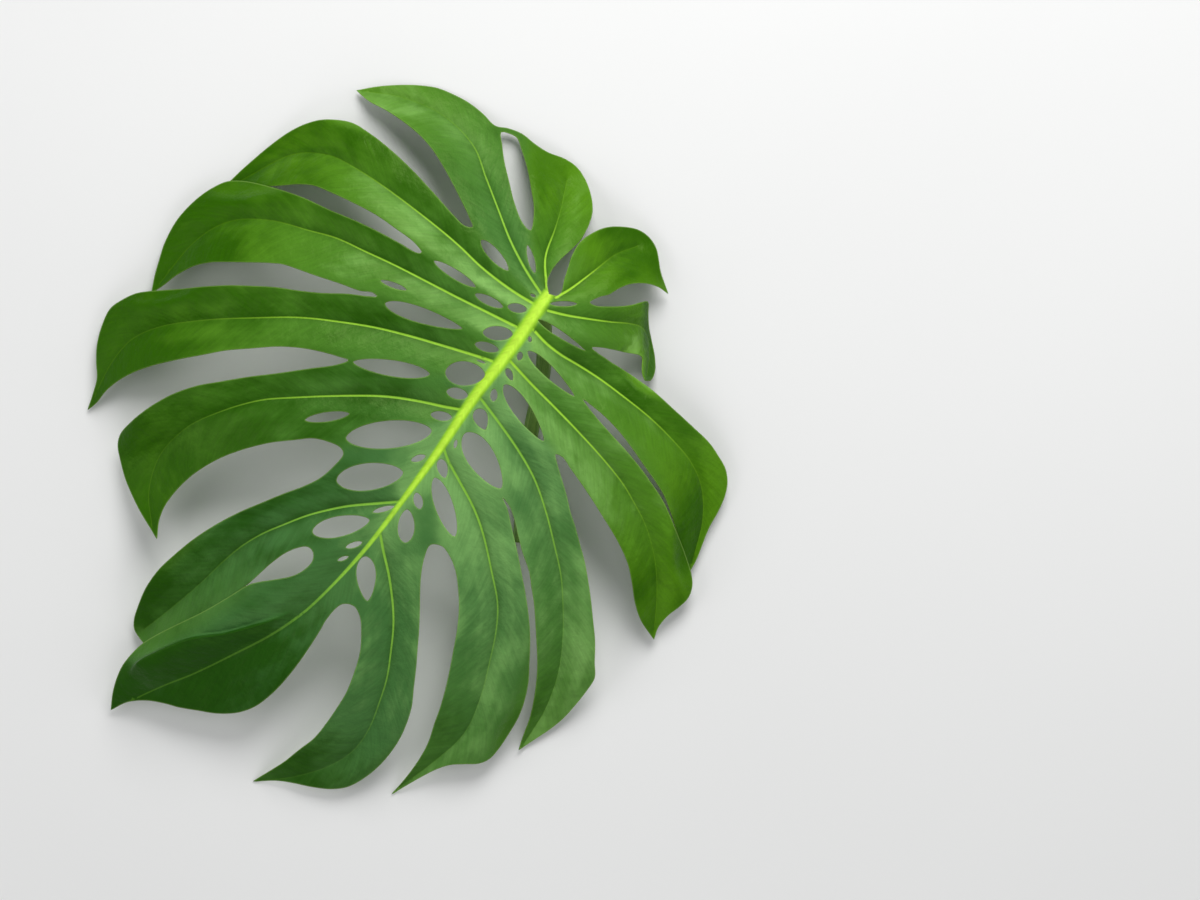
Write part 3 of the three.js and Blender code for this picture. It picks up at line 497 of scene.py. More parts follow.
class Pleat:
    """The pleat in the tip lobe: how far each place is past its crest, away from the midrib, the
    direction of that, and how strong the pleat is there."""

    def __init__(self, places):
        crest = spline(PLEAT, CREST_STEP)[0]
        nearest, distance = nearest_of(crest, places)
        self.outward = -left_of(np.gradient(crest, axis=0))[nearest]
        self.past = ((places - crest[nearest]) * self.outward).sum(1)
        beyond_ends = np.sqrt(np.maximum(distance**2 - self.past**2, 0))
        share = nearest / (len(crest) - 1)
        ends = smoothstep(share, 0, 0.35) * (1 - smoothstep(share, 0.9, 1))
        self.strength = ends * np.exp(-((beyond_ends / 4) ** 2))

    def lift(self):
        gentle = np.exp(np.minimum(self.past, 0) / PLEAT_REACH)
        return PLEAT_HEIGHT * self.strength * gentle * (1 - smoothstep(self.past, 0, PLEAT_FALL))

    def lean(self):
        return (PLEAT_LEAN * self.strength * np.exp(-((self.past / PLEAT_FALL) ** 2)))[:, None] * self.outward

    def sheen_and_shade(self):
        """Painted shade up to the crest and painted light past it, and both die away from it."""
        past_crest = smoothstep(self.past, -0.5, PLEAT_FALL)
        return self.strength * (0.8 * past_crest - 0.45) * np.exp(-np.abs(self.past) / PLEAT_SHADE)


def past_curl(places, owner):
    """How far each place is past the line where the lobe rolls down, and 0 off that lobe."""
    beyond = (CURL_LINE - places.sum(1)) * DIAGONAL
    rounded = np.log1p(np.exp(np.clip(beyond / CURL_SOFTNESS, -30, 30))) * CURL_SOFTNESS
    return rounded * (owner == CURLED)


def furrow_shape(near):
    """1 on the side veins, falling to 0 beside them."""
    return np.exp(-((near.own_off / FURROW_WIDTH) ** 2)) * (near.own != MIDRIB)


def rib_shape(near):
    """For each place: the ribs' height above the blade and their depth below, masks of the midrib and of
    the side veins, which are 1 on a centre line and 0 from two half widths off it, and how far the side
    vein there has still to run, from 1 to 0."""
    midrib_half = np.interp(near.along[:, MIDRIB], *zip(*MIDRIB_WIDTHS))
    vein_half = np.interp(near.share, *zip(*VEIN_WIDTHS))
    q_midrib = near.off[:, MIDRIB] / midrib_half
    q_vein = near.off / vein_half
    q_vein[:, MIDRIB] = NO_RIB
    ridge = np.exp(-(q_midrib**4))
    thinning = 1 - 0.8 * smoothstep(near.share, 0.3, 0.85)
    cords = (vein_half * np.exp(-(q_vein**2)) * thinning).max(1)
    furrow = FURROW_DEPTH * furrow_shape(near) * (1 - smoothstep(near.of_own(near.share), 0.3, 0.9))
    rise = np.maximum(MIDRIB_RISE * midrib_half * ridge, VEIN_RISE * cords - furrow)
    keel = np.maximum(MIDRIB_KEEL * midrib_half * np.exp(-(q_midrib**2)), VEIN_KEEL * cords)
    best = q_vein.argmin(1)[:, None]
    fade = 1 - smoothstep(np.take_along_axis(near.share, best, 1)[:, 0], 0.12, 0.82)
    return rise, keel, np.clip(1 - q_midrib / 2, 0, 1), np.clip(1 - q_vein.min(1) / 2, 0, 1), fade


def margin_points():
    """The blade's outline, in order, and the lobe that each point of it belongs to."""
    runs = [([LOBES[-1].slot], [len(LOBES) - 1])]  # a new one starts at each pointed end
    for k, lobe in enumerate(LOBES):
        out = [*lobe.out, lobe.tip]
        back = [*lobe.back, lobe.slot] if lobe.slot else lobe.back
        runs[-1][0].extend(out)
        runs[-1][1].extend([k] * len(out))
        if k != ROUND_ENDED:
            runs.append(([lobe.tip], [k]))
        runs[-1][0].extend(back)
        runs[-1][1].extend([k] * len(back))
    places, owners = [], []
    for points, names in runs:
        run, order = spline(points, MARGIN_STEP)
        places.append(run[:-1])
        owners.append(np.array(names)[np.round(order[:-1]).astype(int)])
    return np.vstack(places), np.concatenate(owners)


def hole_points(x, y, half_length, half_width, degrees, bluntness):
    girth = pi * (1.5 * (half_length + half_width) - (half_length * half_width) ** 0.5)
    a = np.linspace(0, 2 * pi, max(HOLE_CORNERS, round(girth / HOLE_STEP)), endpoint=False)
    across = np.sign(np.sin(a)) * np.abs(np.sin(a)) ** HOLE_POINTEDNESS
    widths = half_width * across * (1 + bluntness * np.cos(a))
    c, s = np.cos(radians(degrees)), np.sin(radians(degrees))
    return np.column_stack([half_length * np.cos(a), widths]) @ np.array([[c, s], [-s, c]]) + (x, y)


def inside(places, loops):
    """Which places an odd number of the loops' edges passes to the right of."""
    count = np.zeros(len(places), int)
    x, y = places.T
    for loop in loops:
        for (ax, ay), (bx, by) in zip(loop, np.roll(loop, -1, axis=0)):
            if ay != by:
                spans = (y >= ay) != (y >= by)
                count += spans & (x < ax + (y - ay) * (bx - ax) / (by - ay))
    return count % 2 == 1


def beside_loop(loop, distance):
    """The loop's points moved off it to both sides."""
    normal = left_of(np.roll(loop, -1, axis=0) - np.roll(loop, 1, axis=0))
    return np.vstack([loop + distance * normal, loop - distance * normal])


def rows_beside(line, half_widths, factors):
    """Points in rows along a line, so many half widths to each side of it."""
    places = spline(line, RIB_STEP)[0]
    normal = left_of(np.gradient(places, axis=0))
    half = np.interp(np.linspace(0, 1, len(places)), *zip(*half_widths))[:, None]
    return np.vstack([places + factor * half * normal for factor in factors])


def plan_points(loops):
    """The plan's vertices: the loops' own, then rows along the ribs and beside the loops, and a grid."""
    midrib_widths = [(along / LENGTHS[MIDRIB], half) for along, half in MIDRIB_WIDTHS]
    rows = [
        rows_beside(VEINS[MIDRIB].points, midrib_widths, MIDRIB_ROWS),
        rows_beside(Vein(PLEAT).points, [(0, 1)], PLEAT_ROWS),
    ]
    side_veins = VEINS[:MIDRIB] + VEINS[MIDRIB + 1 :]
    rows += [rows_beside(vein.points, VEIN_WIDTHS, VEIN_ROWS) for vein in side_veins]
    rims = [beside_loop(loop, RIM_ROW) for loop in loops]
    low, high = loops[0].min(0), loops[0].max(0)
    across = np.arange(low[0], high[0], INNER_STEP)
    along = np.arange(low[1], high[1], INNER_STEP * ROW_HEIGHT)
    grid = np.array([(x + (j % 2) * INNER_STEP / 2, y) for j, y in enumerate(along) for x in across])
    kept = np.vstack(loops)
    for places, gap in ((np.vstack(rows), RIB_GAP), (np.vstack(rims), RIM_GAP), (grid, INNER_GAP)):
        kept = np.vstack([kept, places[nearest_of(kept, places)[1] > gap]])
    return kept


def plan_triangles(points, loops):
    """The places and triangles that fill the plan. The points begin with the loops' own."""
    starts = np.cumsum([0] + [len(loop) for loop in loops])
    edges = []
    for start, end in zip(starts, starts[1:]):
        edges += [(i, i + 1) for i in range(start, end - 1)] + [(end - 1, start)]
    found = delaunay_2d_cdt([Vector(point) for point in points], edges, [], 0, WELD)
    places = np.array([place[:] for place in found[0]])
    faces = np.array(found[2])
    faces = faces[inside(places[faces].mean(1), loops)]
    corners = places[faces]
    one, two = corners[:, 1] - corners[:, 0], corners[:, 2] - corners[:, 0]
    flipped = one[:, 0] * two[:, 1] - one[:, 1] * two[:, 0] < 0
    faces[flipped] = faces[flipped][:, ::-1]
    used, faces = np.unique(faces, return_inverse=True)
    return places[used], faces.reshape(-1, 3)


class Sheet:
    """The blade's plan in triangles, with the height of the CAD's top and of the ground beneath it.
    owner is the lobe that each place is part of: that of the nearest vein or stretch of margin."""

    def __init__(self):
        margin, owners = margin_points()
        slot = spline(CLOSED_SLOT, MARGIN_STEP, closed=True)[0][:-1]
        loops = [margin, slot, *(hole_points(*hole) for hole in HOLES)]
        self.places, self.faces = plan_triangles(plan_points(loops), loops)
        self.near = Near(self.places)
        self.top = cad_height(self.places, self.near)
        self.ground = self.top.min() - CAD_THICKNESS
        self.to_margin = nearest_of(np.vstack(loops), self.places)[1]
        nearest, distance = nearest_of(margin, self.places)
        self.owner = np.where(distance < self.near.own_off, owners[nearest], self.near.own)


def evened(values, faces, rounds):
    """Values at vertices, each drawn towards its neighbours' mean so many times. It stays within the
    sheet, so two lobes that a slot parts don't touch each other's."""
    pairs = np.unique(np.sort(faces[:, [[0, 1], [1, 2], [2, 0]]].reshape(-1, 2), axis=1), axis=0)
    ends = np.concatenate([pairs[:, 0], pairs[:, 1]])
    others = np.concatenate([pairs[:, 1], pairs[:, 0]])
    count = np.maximum(np.bincount(ends, minlength=len(values)), 1)
    columns = []
    for column in values.T:
        for _ in range(rounds):
            around = np.bincount(ends, column[others], minlength=len(column)) / count
            column = (column + around) / 2
        columns.append(column)
    return np.column_stack(columns)


def sheet_solid(places, top, bottom, faces):
    """The closed mesh of a sheet: its top, its underside, and a rounded rim round every edge. Returns
    also the place that each vertex comes from, and how many polygons its top has."""
    n = len(places)
    edges = faces[:, [[0, 1], [1, 2], [2, 0]]].reshape(-1, 2)
    key, opposite = edges @ (n, 1), edges @ (1, n)
    border = edges[~np.isin(key, opposite)]
    start, end = border.T
    after, before, rim_row = np.full((3, n), -1)
    after[start], before[end], rim_row[start] = end, start, 2 * n + np.arange(len(border))
    ahead = places[after[start]] - places[before[start]]
    overhang = np.minimum(THICKNESS / 2, RIM_SHARE * np.hypot(*ahead.T))
    rim = places[start] - left_of(ahead, 0.1) * overhang[:, None]
    layers = ((places, top), (places, bottom), (rim, (top[start] + bottom[start]) / 2))
    vertices = np.vstack([np.column_stack(layer) for layer in layers])
    upper = np.column_stack([start, rim_row[start], rim_row[end], end])
    lower = np.column_stack([rim_row[start], start + n, end + n, rim_row[end]])
    polygons = [*faces.tolist(), *(faces[:, ::-1] + n).tolist(), *upper.tolist(), *lower.tolist()]
    source = np.concatenate([np.arange(n), np.arange(n), start])
    return vertices, polygons, source, len(faces)


def new_piece(name, vertices, polygons, attributes):
    """A mesh object in the row frame, from places in millimetres, with values at its vertices."""
    mesh = bpy.data.meshes.new(name)
    mesh.from_pydata((vertices * MM).tolist(), [], polygons)
    for label, values in attributes.items():
        flat = values.ndim == 1
        made = mesh.attributes.new(label, "FLOAT" if flat else "FLOAT_VECTOR", "POINT")
        made.data.foreach_set("value" if flat else "vector", values.astype(np.float32).ravel())
    mesh.shade_smooth()
    piece = bpy.data.objects.new(name, mesh)
    bpy.context.scene.collection.objects.link(piece)
    return piece


def add_materials(piece, materials, first, last):
    """The first material on the whole piece, but the second on polygons from first up to last."""
    for material in materials:
        piece.data.materials.append(material)
    index = np.zeros(len(piece.data.polygons), int)
    index[first:last] = 1
    piece.data.polygons.foreach_set("material_index", index)


def blade_uv(mesh, places, n_top):
    """The plan as a map: the top in the left half, the rest in the right half."""
    low, high = places.min(0), places.max(0)
    share = (places - low) / (high - low).max()
    layer = mesh.uv_layers.new(name="OFBake")
    loops = np.array([loop.vertex_index for loop in mesh.loops])
    face = np.repeat(np.arange(len(mesh.polygons)), [p.loop_total for p in mesh.polygons])
    under = face >= n_top
    uv = UV_MARGIN + (1 - 2 * UV_MARGIN) * share[loops]
    uv[:, 0] = 0.5 * uv[:, 0] + 0.5 * under
    layer.uv.foreach_set("vector", uv.astype(np.float32).ravel())


def tucks(sheet):
    """How far each place moves with the end of its lobe, over or under a neighbour."""
    share = np.take_along_axis(sheet.near.share, sheet.owner[:, None], 1)[:, 0]
    moves = np.array([lobe.tuck for lobe in LOBES], float)
    starts = np.array([lobe.tuck_from for lobe in LOBES])
    reach = smoothstep(share, starts[sheet.owner], 1)
    return evened(moves[sheet.owner] * reach[:, None], sheet.faces, TUCK_ROUNDS)


def streaks(near):
    """The grain's two directions, in millimetres, and how strongly it shows."""
    along, off = near.of_own(near.along), near.own_off
    lean = radians(STREAK_LEAN)
    u = along * np.sin(lean) - off * np.cos(lean)
    v = along * np.cos(lean) + off * np.sin(lean)
    fade = smoothstep(near.across, 0.75, 0.98) + smoothstep(near.of_own(near.share), 0.88, 0.99)
    return u, v, 1 - np.minimum(1, fade)


def greens(near, pleat, curled):
    """How light and how yellow the blade is at each place. The lightness is painted sheen on lobe sides
    turned to the light and painted shade on those turned away, with the leaf's own light yellow beside the
    midrib.
    """
    tip_side = 1 - smoothstep(near.to_petiole, -0.5, 0.5)
    outer = smoothstep(near.share, 0.4, 0.95)
    sheen_and_shade = np.array([lobe.sheen_shade_and_tone for lobe in LOBES]).T
    towards_petiole = sheen_and_shade[0] + (sheen_and_shade[1] - sheen_and_shade[0]) * outer
    towards_tip = sheen_and_shade[2] + (sheen_and_shade[3] - sheen_and_shade[2]) * outer
    sheen_shade_and_tone = near.blend(towards_petiole + (towards_tip - towards_petiole) * tip_side)
    glow = np.exp(-near.off[:, MIDRIB] / GLOW_REACH) * (1 - smoothstep(near.along[:, MIDRIB], 180, 320))
    # The pleat's painted light and shade, and painted shade on the small left lobe's end where it rolls down.
    sheen_shade_and_tone += pleat.sheen_and_shade() + 0.5 * glow - 0.25 * np.minimum(curled, 4)
    warmth = np.array([lobe.warm for lobe in LOBES]) + WARMING * (near.share - 0.55) + 0.5 * glow[:, None]
    return np.clip(sheen_shade_and_tone, 0, 1), np.clip(near.blend(warmth), 0, 1)


def make_blade(sheet, shift):
    places, near = sheet.places, sheet.near
    pleat = Pleat(places)
    curled = past_curl(places, sheet.owner)
    tuck = tucks(sheet)
    rise, keel, midrib, vein, fade = rib_shape(near)
    streak_u, streak_v, strength = streaks(near)
    ripple = RIPPLE * (swell(places, RIPPLE_LENGTH, 3) + 0.5 * swell(places, RIPPLE_LENGTH / 2, 8))
    along_streaks = np.column_stack([streak_u / PUCKER_WIDTH, streak_v / PUCKER_LENGTH])
    ripple += PUCKER * strength * swell(along_streaks, 1, 5)
    base = sheet.top + ripple + pleat.lift() - CURL_SLOPE * curled + tuck[:, 2]
    base = np.maximum(base, sheet.ground + THICKNESS + keel + GROUND_GAP)
    moved = places + tuck[:, :2] + pleat.lean()
    under = base - THICKNESS - keel
    vertices, polygons, source, n_top = sheet_solid(moved, base + rise, under, sheet.faces)

    sheen_shade_and_tone, warm = greens(near, pleat, curled)
    lobe_shift = near.own * LOBE_SHIFT
    fields = dict(
        midrib=midrib,
        vein=vein,
        # Past the curl the side veins are hidden under its painted shade.
        vein_fade=fade * (1 - smoothstep(curled, 1, 4)),
        furrow=furrow_shape(near),
        margin=sheet.to_margin,
        sheen_shade_and_tone=sheen_shade_and_tone,
        warm=warm,
        far=np.clip(near.share[:, MIDRIB], 0, 1),
        streak=np.column_stack([streak_u, streak_v, lobe_shift]),
        lengthwise=np.column_stack([near.of_own(near.along), near.own_off, lobe_shift]),
        streak_strength=strength,
    )
    piece = new_piece("blade", vertices + shift, polygons, {k: v[source] for k, v in fields.items()})
    blade_uv(piece.data, vertices[:, :2], n_top)
    add_materials(piece, (leaf_top(), leaf_underside()), n_top, 2 * n_top)
    return piece


class Nodes:
    """A new material and its node tree. Colours are given as red, green and blue."""

    def __init__(self, name):
        self.material = bpy.data.materials.new(name)
        self.material.use_nodes = True
        self.tree = self.material.node_tree
        self.shader = self.tree.nodes["Principled BSDF"]

    def node(self, kind, inputs, **settings):
        """A node of that kind, with its settings and with its inputs set or linked."""
        made = self.tree.nodes.new("ShaderNode" + kind)
        for key, value in settings.items():
            setattr(made, key, value)
        for key, value in inputs.items():
            if isinstance(value, bpy.types.NodeSocket):
                self.tree.links.new(value, made.inputs[key])
            else:
                made.inputs[key].default_value = value
        return made

    def plus(self, one, other):
        return self.node("Math", {0: one, 1: other}, operation="ADD").outputs[0]

    def times(self, one, other):
        return self.node("Math", {0: one, 1: other}, operation="MULTIPLY").outputs[0]

    def ramp(self, value, low, high, to_low=0, to_high=1):
        """to_low up to low and to_high from high on, with a smooth change between."""
        inputs = {"Value": value, "From Min": low, "From Max": high, "To Min": to_low, "To Max": to_high}
        return self.node("MapRange", inputs, interpolation_type="SMOOTHSTEP").outputs[0]

    def mix(self, factor, one, other):
        colours = [(*c, 1) if isinstance(c, tuple) else c for c in (one, other)]
        inputs = {0: factor, 6: colours[0], 7: colours[1]}
        return self.node("Mix", inputs, data_type="RGBA").outputs[2]

    def tones(self, value, dark, middle, light):
        """The colour between three at a value from 0 to 1."""
        low = self.mix(self.ramp(value, 0, 0.5), dark, middle)
        return self.mix(self.ramp(value, 0.5, 1), low, light)

    def brightened(self, base, factor):
        return self.node("VectorMath", {0: base, 3: factor}, operation="SCALE").outputs[0]

    def attribute(self, name, output="Fac"):
        return self.node("Attribute", {}, attribute_name=name).outputs[output]

    def scaled(self, vector, scale):
        return self.node("VectorMath", {0: vector, 1: scale}, operation="MULTIPLY").outputs[0]

    def noise(self, scale, detail, roughness=0.5, vector=None):
        """Noise of the place in the row frame, or of another vector."""
        vector = vector or self.node("TexCoord", {}).outputs["Object"]
        inputs = {"Vector": vector, "Scale": scale, "Detail": detail, "Roughness": roughness}
        return self.node("TexNoise", inputs).outputs["Fac"]

    def stretched_noise(self, vector, scale, detail, roughness=0.5):
        return self.noise(1, detail, roughness, self.scaled(vector, scale))

    def set_colour(self, base):
        self.tree.links.new(base, self.shader.inputs["Base Color"])

    def set_roughness(self, value, low, high):
        """A roughness from low to high, after a noise."""
        self.tree.links.new(self.ramp(value, 0.2, 0.8, low, high), self.shader.inputs["Roughness"])

    def set_bump(self, height, strength, distance):
        inputs = {"Strength": strength, "Distance": distance, "Height": height}
        self.tree.links.new(self.node("Bump", inputs).outputs[0], self.shader.inputs["Normal"])


def lamina_colour(m, streak, strength, fine_tone):
    """The green between the ribs, from dark to light, leaning to yellow or to blue. The dark end is painted
    shade and the light end painted sheen, laid on each lobe's sides by how they face the light; the noise
    patches add random tone and painted patches of sheen.
    """
    broad_grain = m.stretched_noise(streak, (0.14, 0.02, 1), 3)
    lengthwise = m.stretched_noise(m.attribute("lengthwise", "Vector"), (0.012, 0.07, 1), 3)
    broad_bands = m.ramp(broad_grain, 0.3, 0.7, -0.045, 0.045)
    sheen_bands = m.ramp(lengthwise, 0.3, 0.7, -0.08, 0.08)
    sheen_clouds = m.ramp(m.noise(26, 4), 0.3, 0.7, -0.1, 0.1)
    bands = m.times(m.plus(broad_bands, sheen_bands), strength)
    # The lobes' painted sheen and shade, with patches of random tone and painted sheen.
    tone = m.plus(m.plus(m.attribute("sheen_shade_and_tone"), sheen_clouds), bands)
    yellow = m.tones(tone, *YELLOW_GREENS)
    blue = m.tones(tone, *BLUE_GREENS)
    lamina = m.mix(m.attribute("warm"), blue, yellow)
    return m.mix(strength, lamina, m.brightened(lamina, fine_tone))


def with_veins(m, lamina):
    """The side veins on the lamina, and painted shade in the furrows beside them."""
    fade = m.attribute("vein_fade")
    shade = m.times(m.attribute("furrow"), m.ramp(fade, 0, 1, 0.1, 0.5))
    shaded = m.mix(shade, lamina, (0.01, 0.06, 0.002))
    line = m.ramp(m.attribute("vein"), 0.3, 0.75)
    line = m.times(line, m.ramp(fade, 0, 1, 0.06, 0.95))
    green = m.mix(m.attribute("warm"), (0.22, 0.48, 0.05), (0.4, 0.74, 0.04))
    return m.mix(line, shaded, green)


def with_midrib(m, leaf, fine_tone):
    """The midrib on the leaf: bright and yellow to begin with, and fainter towards its tip."""
    far = m.attribute("far")
    across = m.attribute("midrib")
    line = m.times(m.ramp(across, 0.3, 0.62), m.ramp(far, 0.5, 0.74, 1, 0.22))
    # Lighter down its middle and greener at its sides: painted light on its rounded top and painted shade on
    # its flanks.
    bright = m.mix(m.ramp(across, 0.5, 0.85), (0.27, 0.56, 0.025), (0.5, 0.82, 0.06))
    green = m.mix(m.ramp(far, 0.3, 0.65), bright, (0.22, 0.5, 0.05))
    return m.mix(line, leaf, m.brightened(green, fine_tone))


def leaf_top():
    m = Nodes("leaf_top")
    streak, strength = m.attribute("streak", "Vector"), m.attribute("streak_strength")
    grain = m.stretched_noise(streak, (0.55, 0.04, 1), 4, 0.6)
    crinkle = m.noise(120, 3, 0.6)
    fine = m.noise(700, 2)

    fine_tone = m.ramp(grain, 0.25, 0.75, 0.9, 1.1)
    lined = with_veins(m, lamina_colour(m, streak, strength, fine_tone))
    lined = with_midrib(m, lined, fine_tone)
    # A light line along every margin and hole: a painted highlight of the lit rim.
    rim_highlight = m.ramp(m.attribute("margin"), 0, 0.7, 0.25, 0)
    m.set_colour(m.mix(rim_highlight, lined, (0.36, 0.55, 0.12)))

    height = m.plus(m.times(grain, 0.3), m.times(fine, 0.15))
    height = m.plus(height, m.times(crinkle, 1.8))
    m.set_bump(height, 0.5, 0.0012)
    m.set_roughness(fine, 0.3, 0.42)
    m.shader.inputs["Specular IOR Level"].default_value = 0.14
    m.shader.inputs["Specular Tint"].default_value = (0.75, 1, 0.35, 1)
    return m.material


def leaf_underside():
    m = Nodes("leaf_underside")
    cloud = m.noise(30, 3)
    fine = m.noise(500, 2)
    lamina = m.mix(m.ramp(cloud, 0.3, 0.7), (0.12, 0.25, 0.07), (0.17, 0.31, 0.09))
    vein, midrib = m.attribute("vein"), m.attribute("midrib")
    ribs = m.node("Math", {0: vein, 1: midrib}, operation="MAXIMUM").outputs[0]
    m.set_colour(m.mix(m.ramp(ribs, 0.1, 0.6), lamina, (0.36, 0.52, 0.15)))
    m.set_roughness(fine, 0.55, 0.68)
    m.set_bump(fine, 0.3, 0.0005)
    return m.material


def petiole_skin():
    m = Nodes("petiole_skin")
    run = m.attribute("run", "Vector")
    streak = m.stretched_noise(run, (0.9, 0.9, 0.03), 4)
    speck = m.stretched_noise(run, (2.2, 2.2, 0.7), 2)
    body = m.mix(m.ramp(streak, 0.3, 0.7), (0.15, 0.3, 0.045), (0.26, 0.44, 0.09))
    body = m.mix(m.attribute("knee"), body, (0.34, 0.56, 0.08))
    specks = m.ramp(speck, 0.62, 0.72, 0, 0.5)
    m.set_colour(m.mix(specks, body, (0.42, 0.55, 0.25)))
    m.set_roughness(streak, 0.36, 0.5)
    m.set_bump(m.plus(streak, m.times(speck, 0.3)), 0.4, 0.0006)
    m.shader.inputs["Coat Weight"].default_value = 0.1
    m.shader.inputs["Coat Roughness"].default_value = 0.35
    return m.material


def petiole_cut():
    m = Nodes("petiole_cut")
    across = m.scaled(m.attribute("run", "Vector"), (1, 1, 0))
    pores = m.node("TexVoronoi", {"Vector": across, "Scale": 1}).outputs["Distance"]
    body = m.mix(m.ramp(pores, 0.1, 0.35), (0.2, 0.16, 0.06), (0.52, 0.56, 0.3))
    m.set_colour(body)
    m.set_bump(pores, 0.5, 0.0005)
    m.shader.inputs["Roughness"].default_value = 0.7
    return m.material


def floor_material():
    m = Nodes("floor_plain")
    patch = m.noise(2, 2)
    m.set_colour(m.mix(patch, (0.8, 0.8, 0.79), (0.84, 0.84, 0.83)))
    m.shader.inputs["Roughness"].default_value = 0.85
    m.shader.inputs["Specular IOR Level"].default_value = 0.2
    return m.material


def petiole_route(ground):
    """Points down the petiole's middle, from inside the blade's keel to the cut."""
    x, y = JOINT
    slope = (height_at(x, y + SLOPE_REACH) - height_at(x, y - SLOPE_REACH)) / (2 * SLOPE_REACH)
    down = Vector((0, slope, -1)).normalized()
    joint = Vector((x, y, height_at(x, y))) + JOINT_DROP * down
    cut = Vector((*PETIOLE_CUT, ground + PETIOLE_RADIUS + GROUND_GAP))
    rest = joint.lerp(cut, PETIOLE_SAG)
    rest.z = cut.z + PETIOLE_SAG_HEIGHT
    bends = [joint + Vector(offset) for offset in PETIOLE_BENDS]
    points = [joint - TOP_OVERLAP * down, joint + KNEE_LENGTH * down, *bends, rest, cut]
    return spline([tuple(point) for point in points], ROUTE_STEP)[0]


def petiole_rings(route, share, turns):
    """Rings of points round the route, with a wrinkled knee and a groove, and rings across the cut."""
    ahead = np.gradient(route, axis=0)
    ahead /= np.linalg.norm(ahead, axis=1)[:, None]
    side = np.cross(ahead, (0, 0, 1))
    side /= np.linalg.norm(side, axis=1)[:, None]
    up = np.cross(side, ahead)
    radius = PETIOLE_RADIUS + (KNEE_RADIUS - PETIOLE_RADIUS) * (1 - smoothstep(share, 0.1, 0.25))
    wrinkles = WRINKLE * np.sin(share * len(route) * WRINKLE_TURN) * (1 - smoothstep(share, 0.02, 0.16))
    radius = radius + wrinkles - SKIN_DEPTH
    groove = GROOVE * np.exp(-((np.cos(turns - pi / 2) - 1) ** 2) / GROOVE_SHARPNESS)
    reach = radius[:, None] * (1 - groove * smoothstep(share, 0.12, 0.3)[:, None])
    spokes = side[:, None] * np.cos(turns)[:, None] + up[:, None] * np.sin(turns)[:, None]
    rings = list(route[:, None] + spokes * reach[..., None])
    last, middle = rings[-1], rings[-1].mean(0)
    rings += [middle + (last - middle) * shrink + ahead[-1] * CUT_BULGE for shrink in CUT_RINGS]
    return rings, middle + ahead[-1] * CUT_BULGE


def petiole_polygons(n_rings):
    """Quads between the rings, then a fan on the cut's middle, and one on the foot's."""
    n = PETIOLE_SIDES
    steps = [(i, (i + 1) % n) for i in range(n)]
    rows = [(k * n, (k + 1) * n) for k in range(n_rings - 1)]
    quads = [(low + i, low + j, high + j, high + i) for low, high in rows for i, j in steps]
    first_cap = (n_rings - 1) * n
    cut_fan = [(first_cap + i, first_cap + j, n_rings * n) for i, j in steps]
    foot_fan = [(j, i, n_rings * n + 1) for i, j in steps]
    return [*quads, *cut_fan, *foot_fan]


def make_petiole(ground, shift):
    route = petiole_route(ground)
    share = np.linspace(0, 1, len(route))
    turns = np.linspace(0, 2 * pi, PETIOLE_SIDES, endpoint=False)
    rings, cut_middle = petiole_rings(route, share, turns)
    polygons = petiole_polygons(len(rings))

    # run is the place on the skin, or on the cut: across it, and along the petiole
    n_cut = len(CUT_RINGS)
    run_end = len(route) * ROUTE_STEP
    radii = np.append(np.ones(len(route)), CUT_RINGS) * PETIOLE_RADIUS
    along = np.append(np.arange(len(route)) * ROUTE_STEP, [run_end] * n_cut)
    across = radii[:, None, None] * np.column_stack([np.cos(turns), np.sin(turns)])
    run = np.column_stack([across.reshape(-1, 2), np.repeat(along, PETIOLE_SIDES)])
    knee = 1 - smoothstep(np.append(share, np.ones(n_cut)), 0.04, 0.2)
    fields = {
        "run": np.vstack([run, [(0, 0, run_end), (0, 0, 0)]]),
        "knee": np.append(np.repeat(knee, PETIOLE_SIDES), [0, 1]),
    }
    vertices = np.vstack([*rings, cut_middle, route[0]])
    piece = new_piece("petiole_stalk", vertices + shift, polygons, fields)
    add_materials(piece, (petiole_skin(), petiole_cut()), (len(route) - 1) * PETIOLE_SIDES, -PETIOLE_SIDES)
    return piece


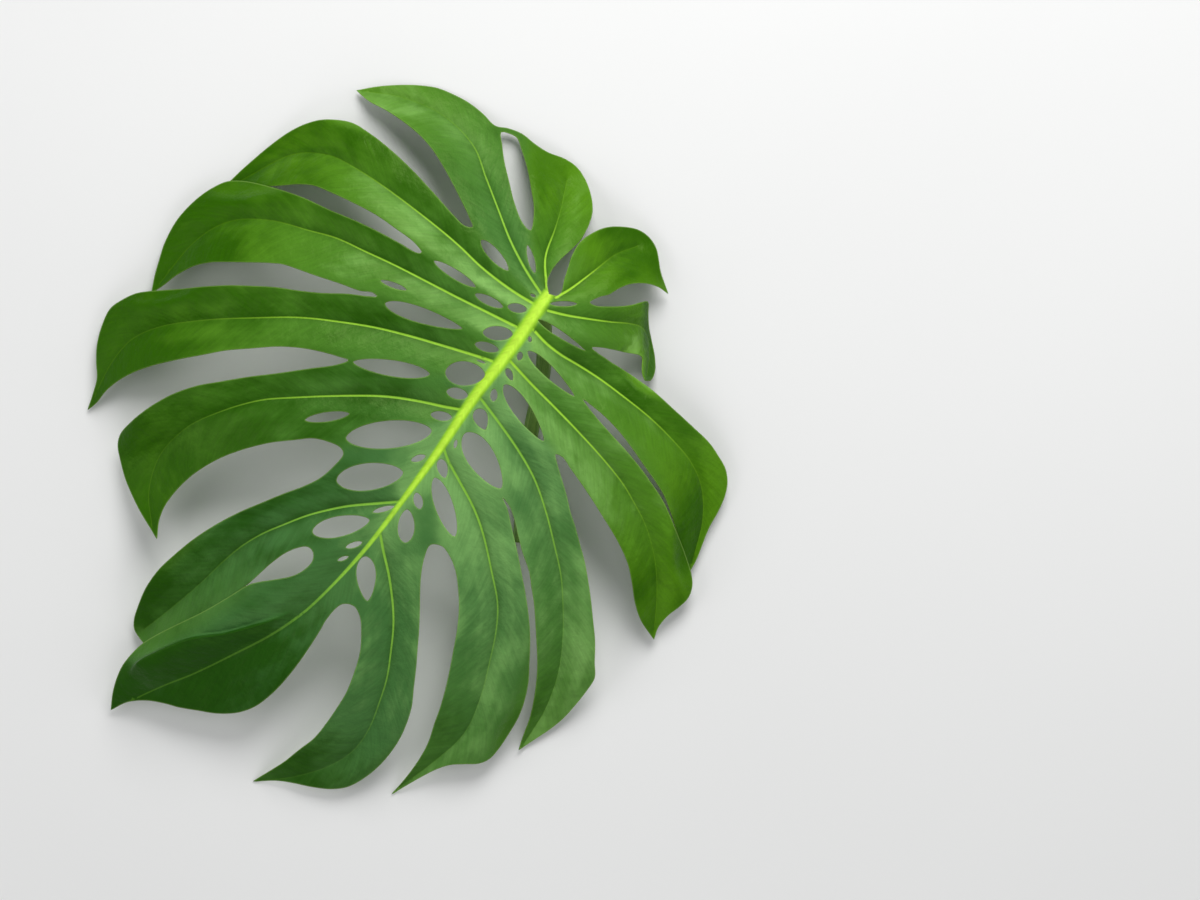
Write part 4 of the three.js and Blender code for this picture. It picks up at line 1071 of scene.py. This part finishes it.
def area_light(target, name, azimuth, elevation, size, power):
    """A soft round light, LIGHT_DISTANCE from the target in that direction, in degrees."""
    data = bpy.data.lights.new(name, "AREA")
    data.shape = "DISK"
    data.size = size
    data.energy = power
    turn, rise = radians(azimuth), radians(elevation)
    towards = Vector((np.cos(rise) * np.cos(turn), np.cos(rise) * np.sin(turn), np.sin(rise)))
    light = bpy.data.objects.new(name, data)
    light.location = Vector(target) + LIGHT_DISTANCE * towards
    light.rotation_euler = towards.to_track_quat("Z", "Y").to_euler()
    bpy.context.scene.collection.objects.link(light)


def light_world():
    bpy.context.scene.view_settings.view_transform = "Standard"
    world = bpy.data.worlds.new("studio")
    bpy.context.scene.world = world
    world.use_nodes = True
    background = world.node_tree.nodes["Background"]
    background.inputs["Color"].default_value = WORLD_COLOUR
    background.inputs["Strength"].default_value = WORLD_STRENGTH


def add_camera(target):
    """A camera that looks straight down, with the picture's right along -X -Y and its top along +X -Y."""
    lens = bpy.data.cameras.new("camera")
    lens.sensor_width = 36
    lens.lens = LENS
    camera = bpy.data.objects.new("camera", lens)
    d = DIAGONAL
    turned = Matrix(((-d, d, 0, 0), (-d, -d, 0, 0), (0, 0, 1, 0), (0, 0, 0, 1)))
    camera.matrix_world = Matrix.Translation((target[0], target[1], CAMERA_HEIGHT)) @ turned
    bpy.context.scene.collection.objects.link(camera)
    bpy.context.scene.camera = camera


sheet = Sheet()
to_row = np.array(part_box("leaf_blade")[0]) / MM - (*sheet.places.min(0), sheet.ground)

blade = make_blade(sheet, to_row)
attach(blade, "root")
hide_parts("leaf_blade")

stalk = make_petiole(sheet.ground, to_row)
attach(stalk, "root")
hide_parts("petiole")

bpy.ops.mesh.primitive_plane_add(size=FLOOR_SIZE, location=(0, 0, cad_box[0][2]))
floor = bpy.context.object
floor.name = "floor"
floor.data.materials.append(floor_material())

aim = (*((np.array(VIEW_CENTRE) + to_row[:2]) * MM), AIM_HEIGHT)
for light in LIGHTS:
    area_light(aim, *light)
light_world()
add_camera(aim)
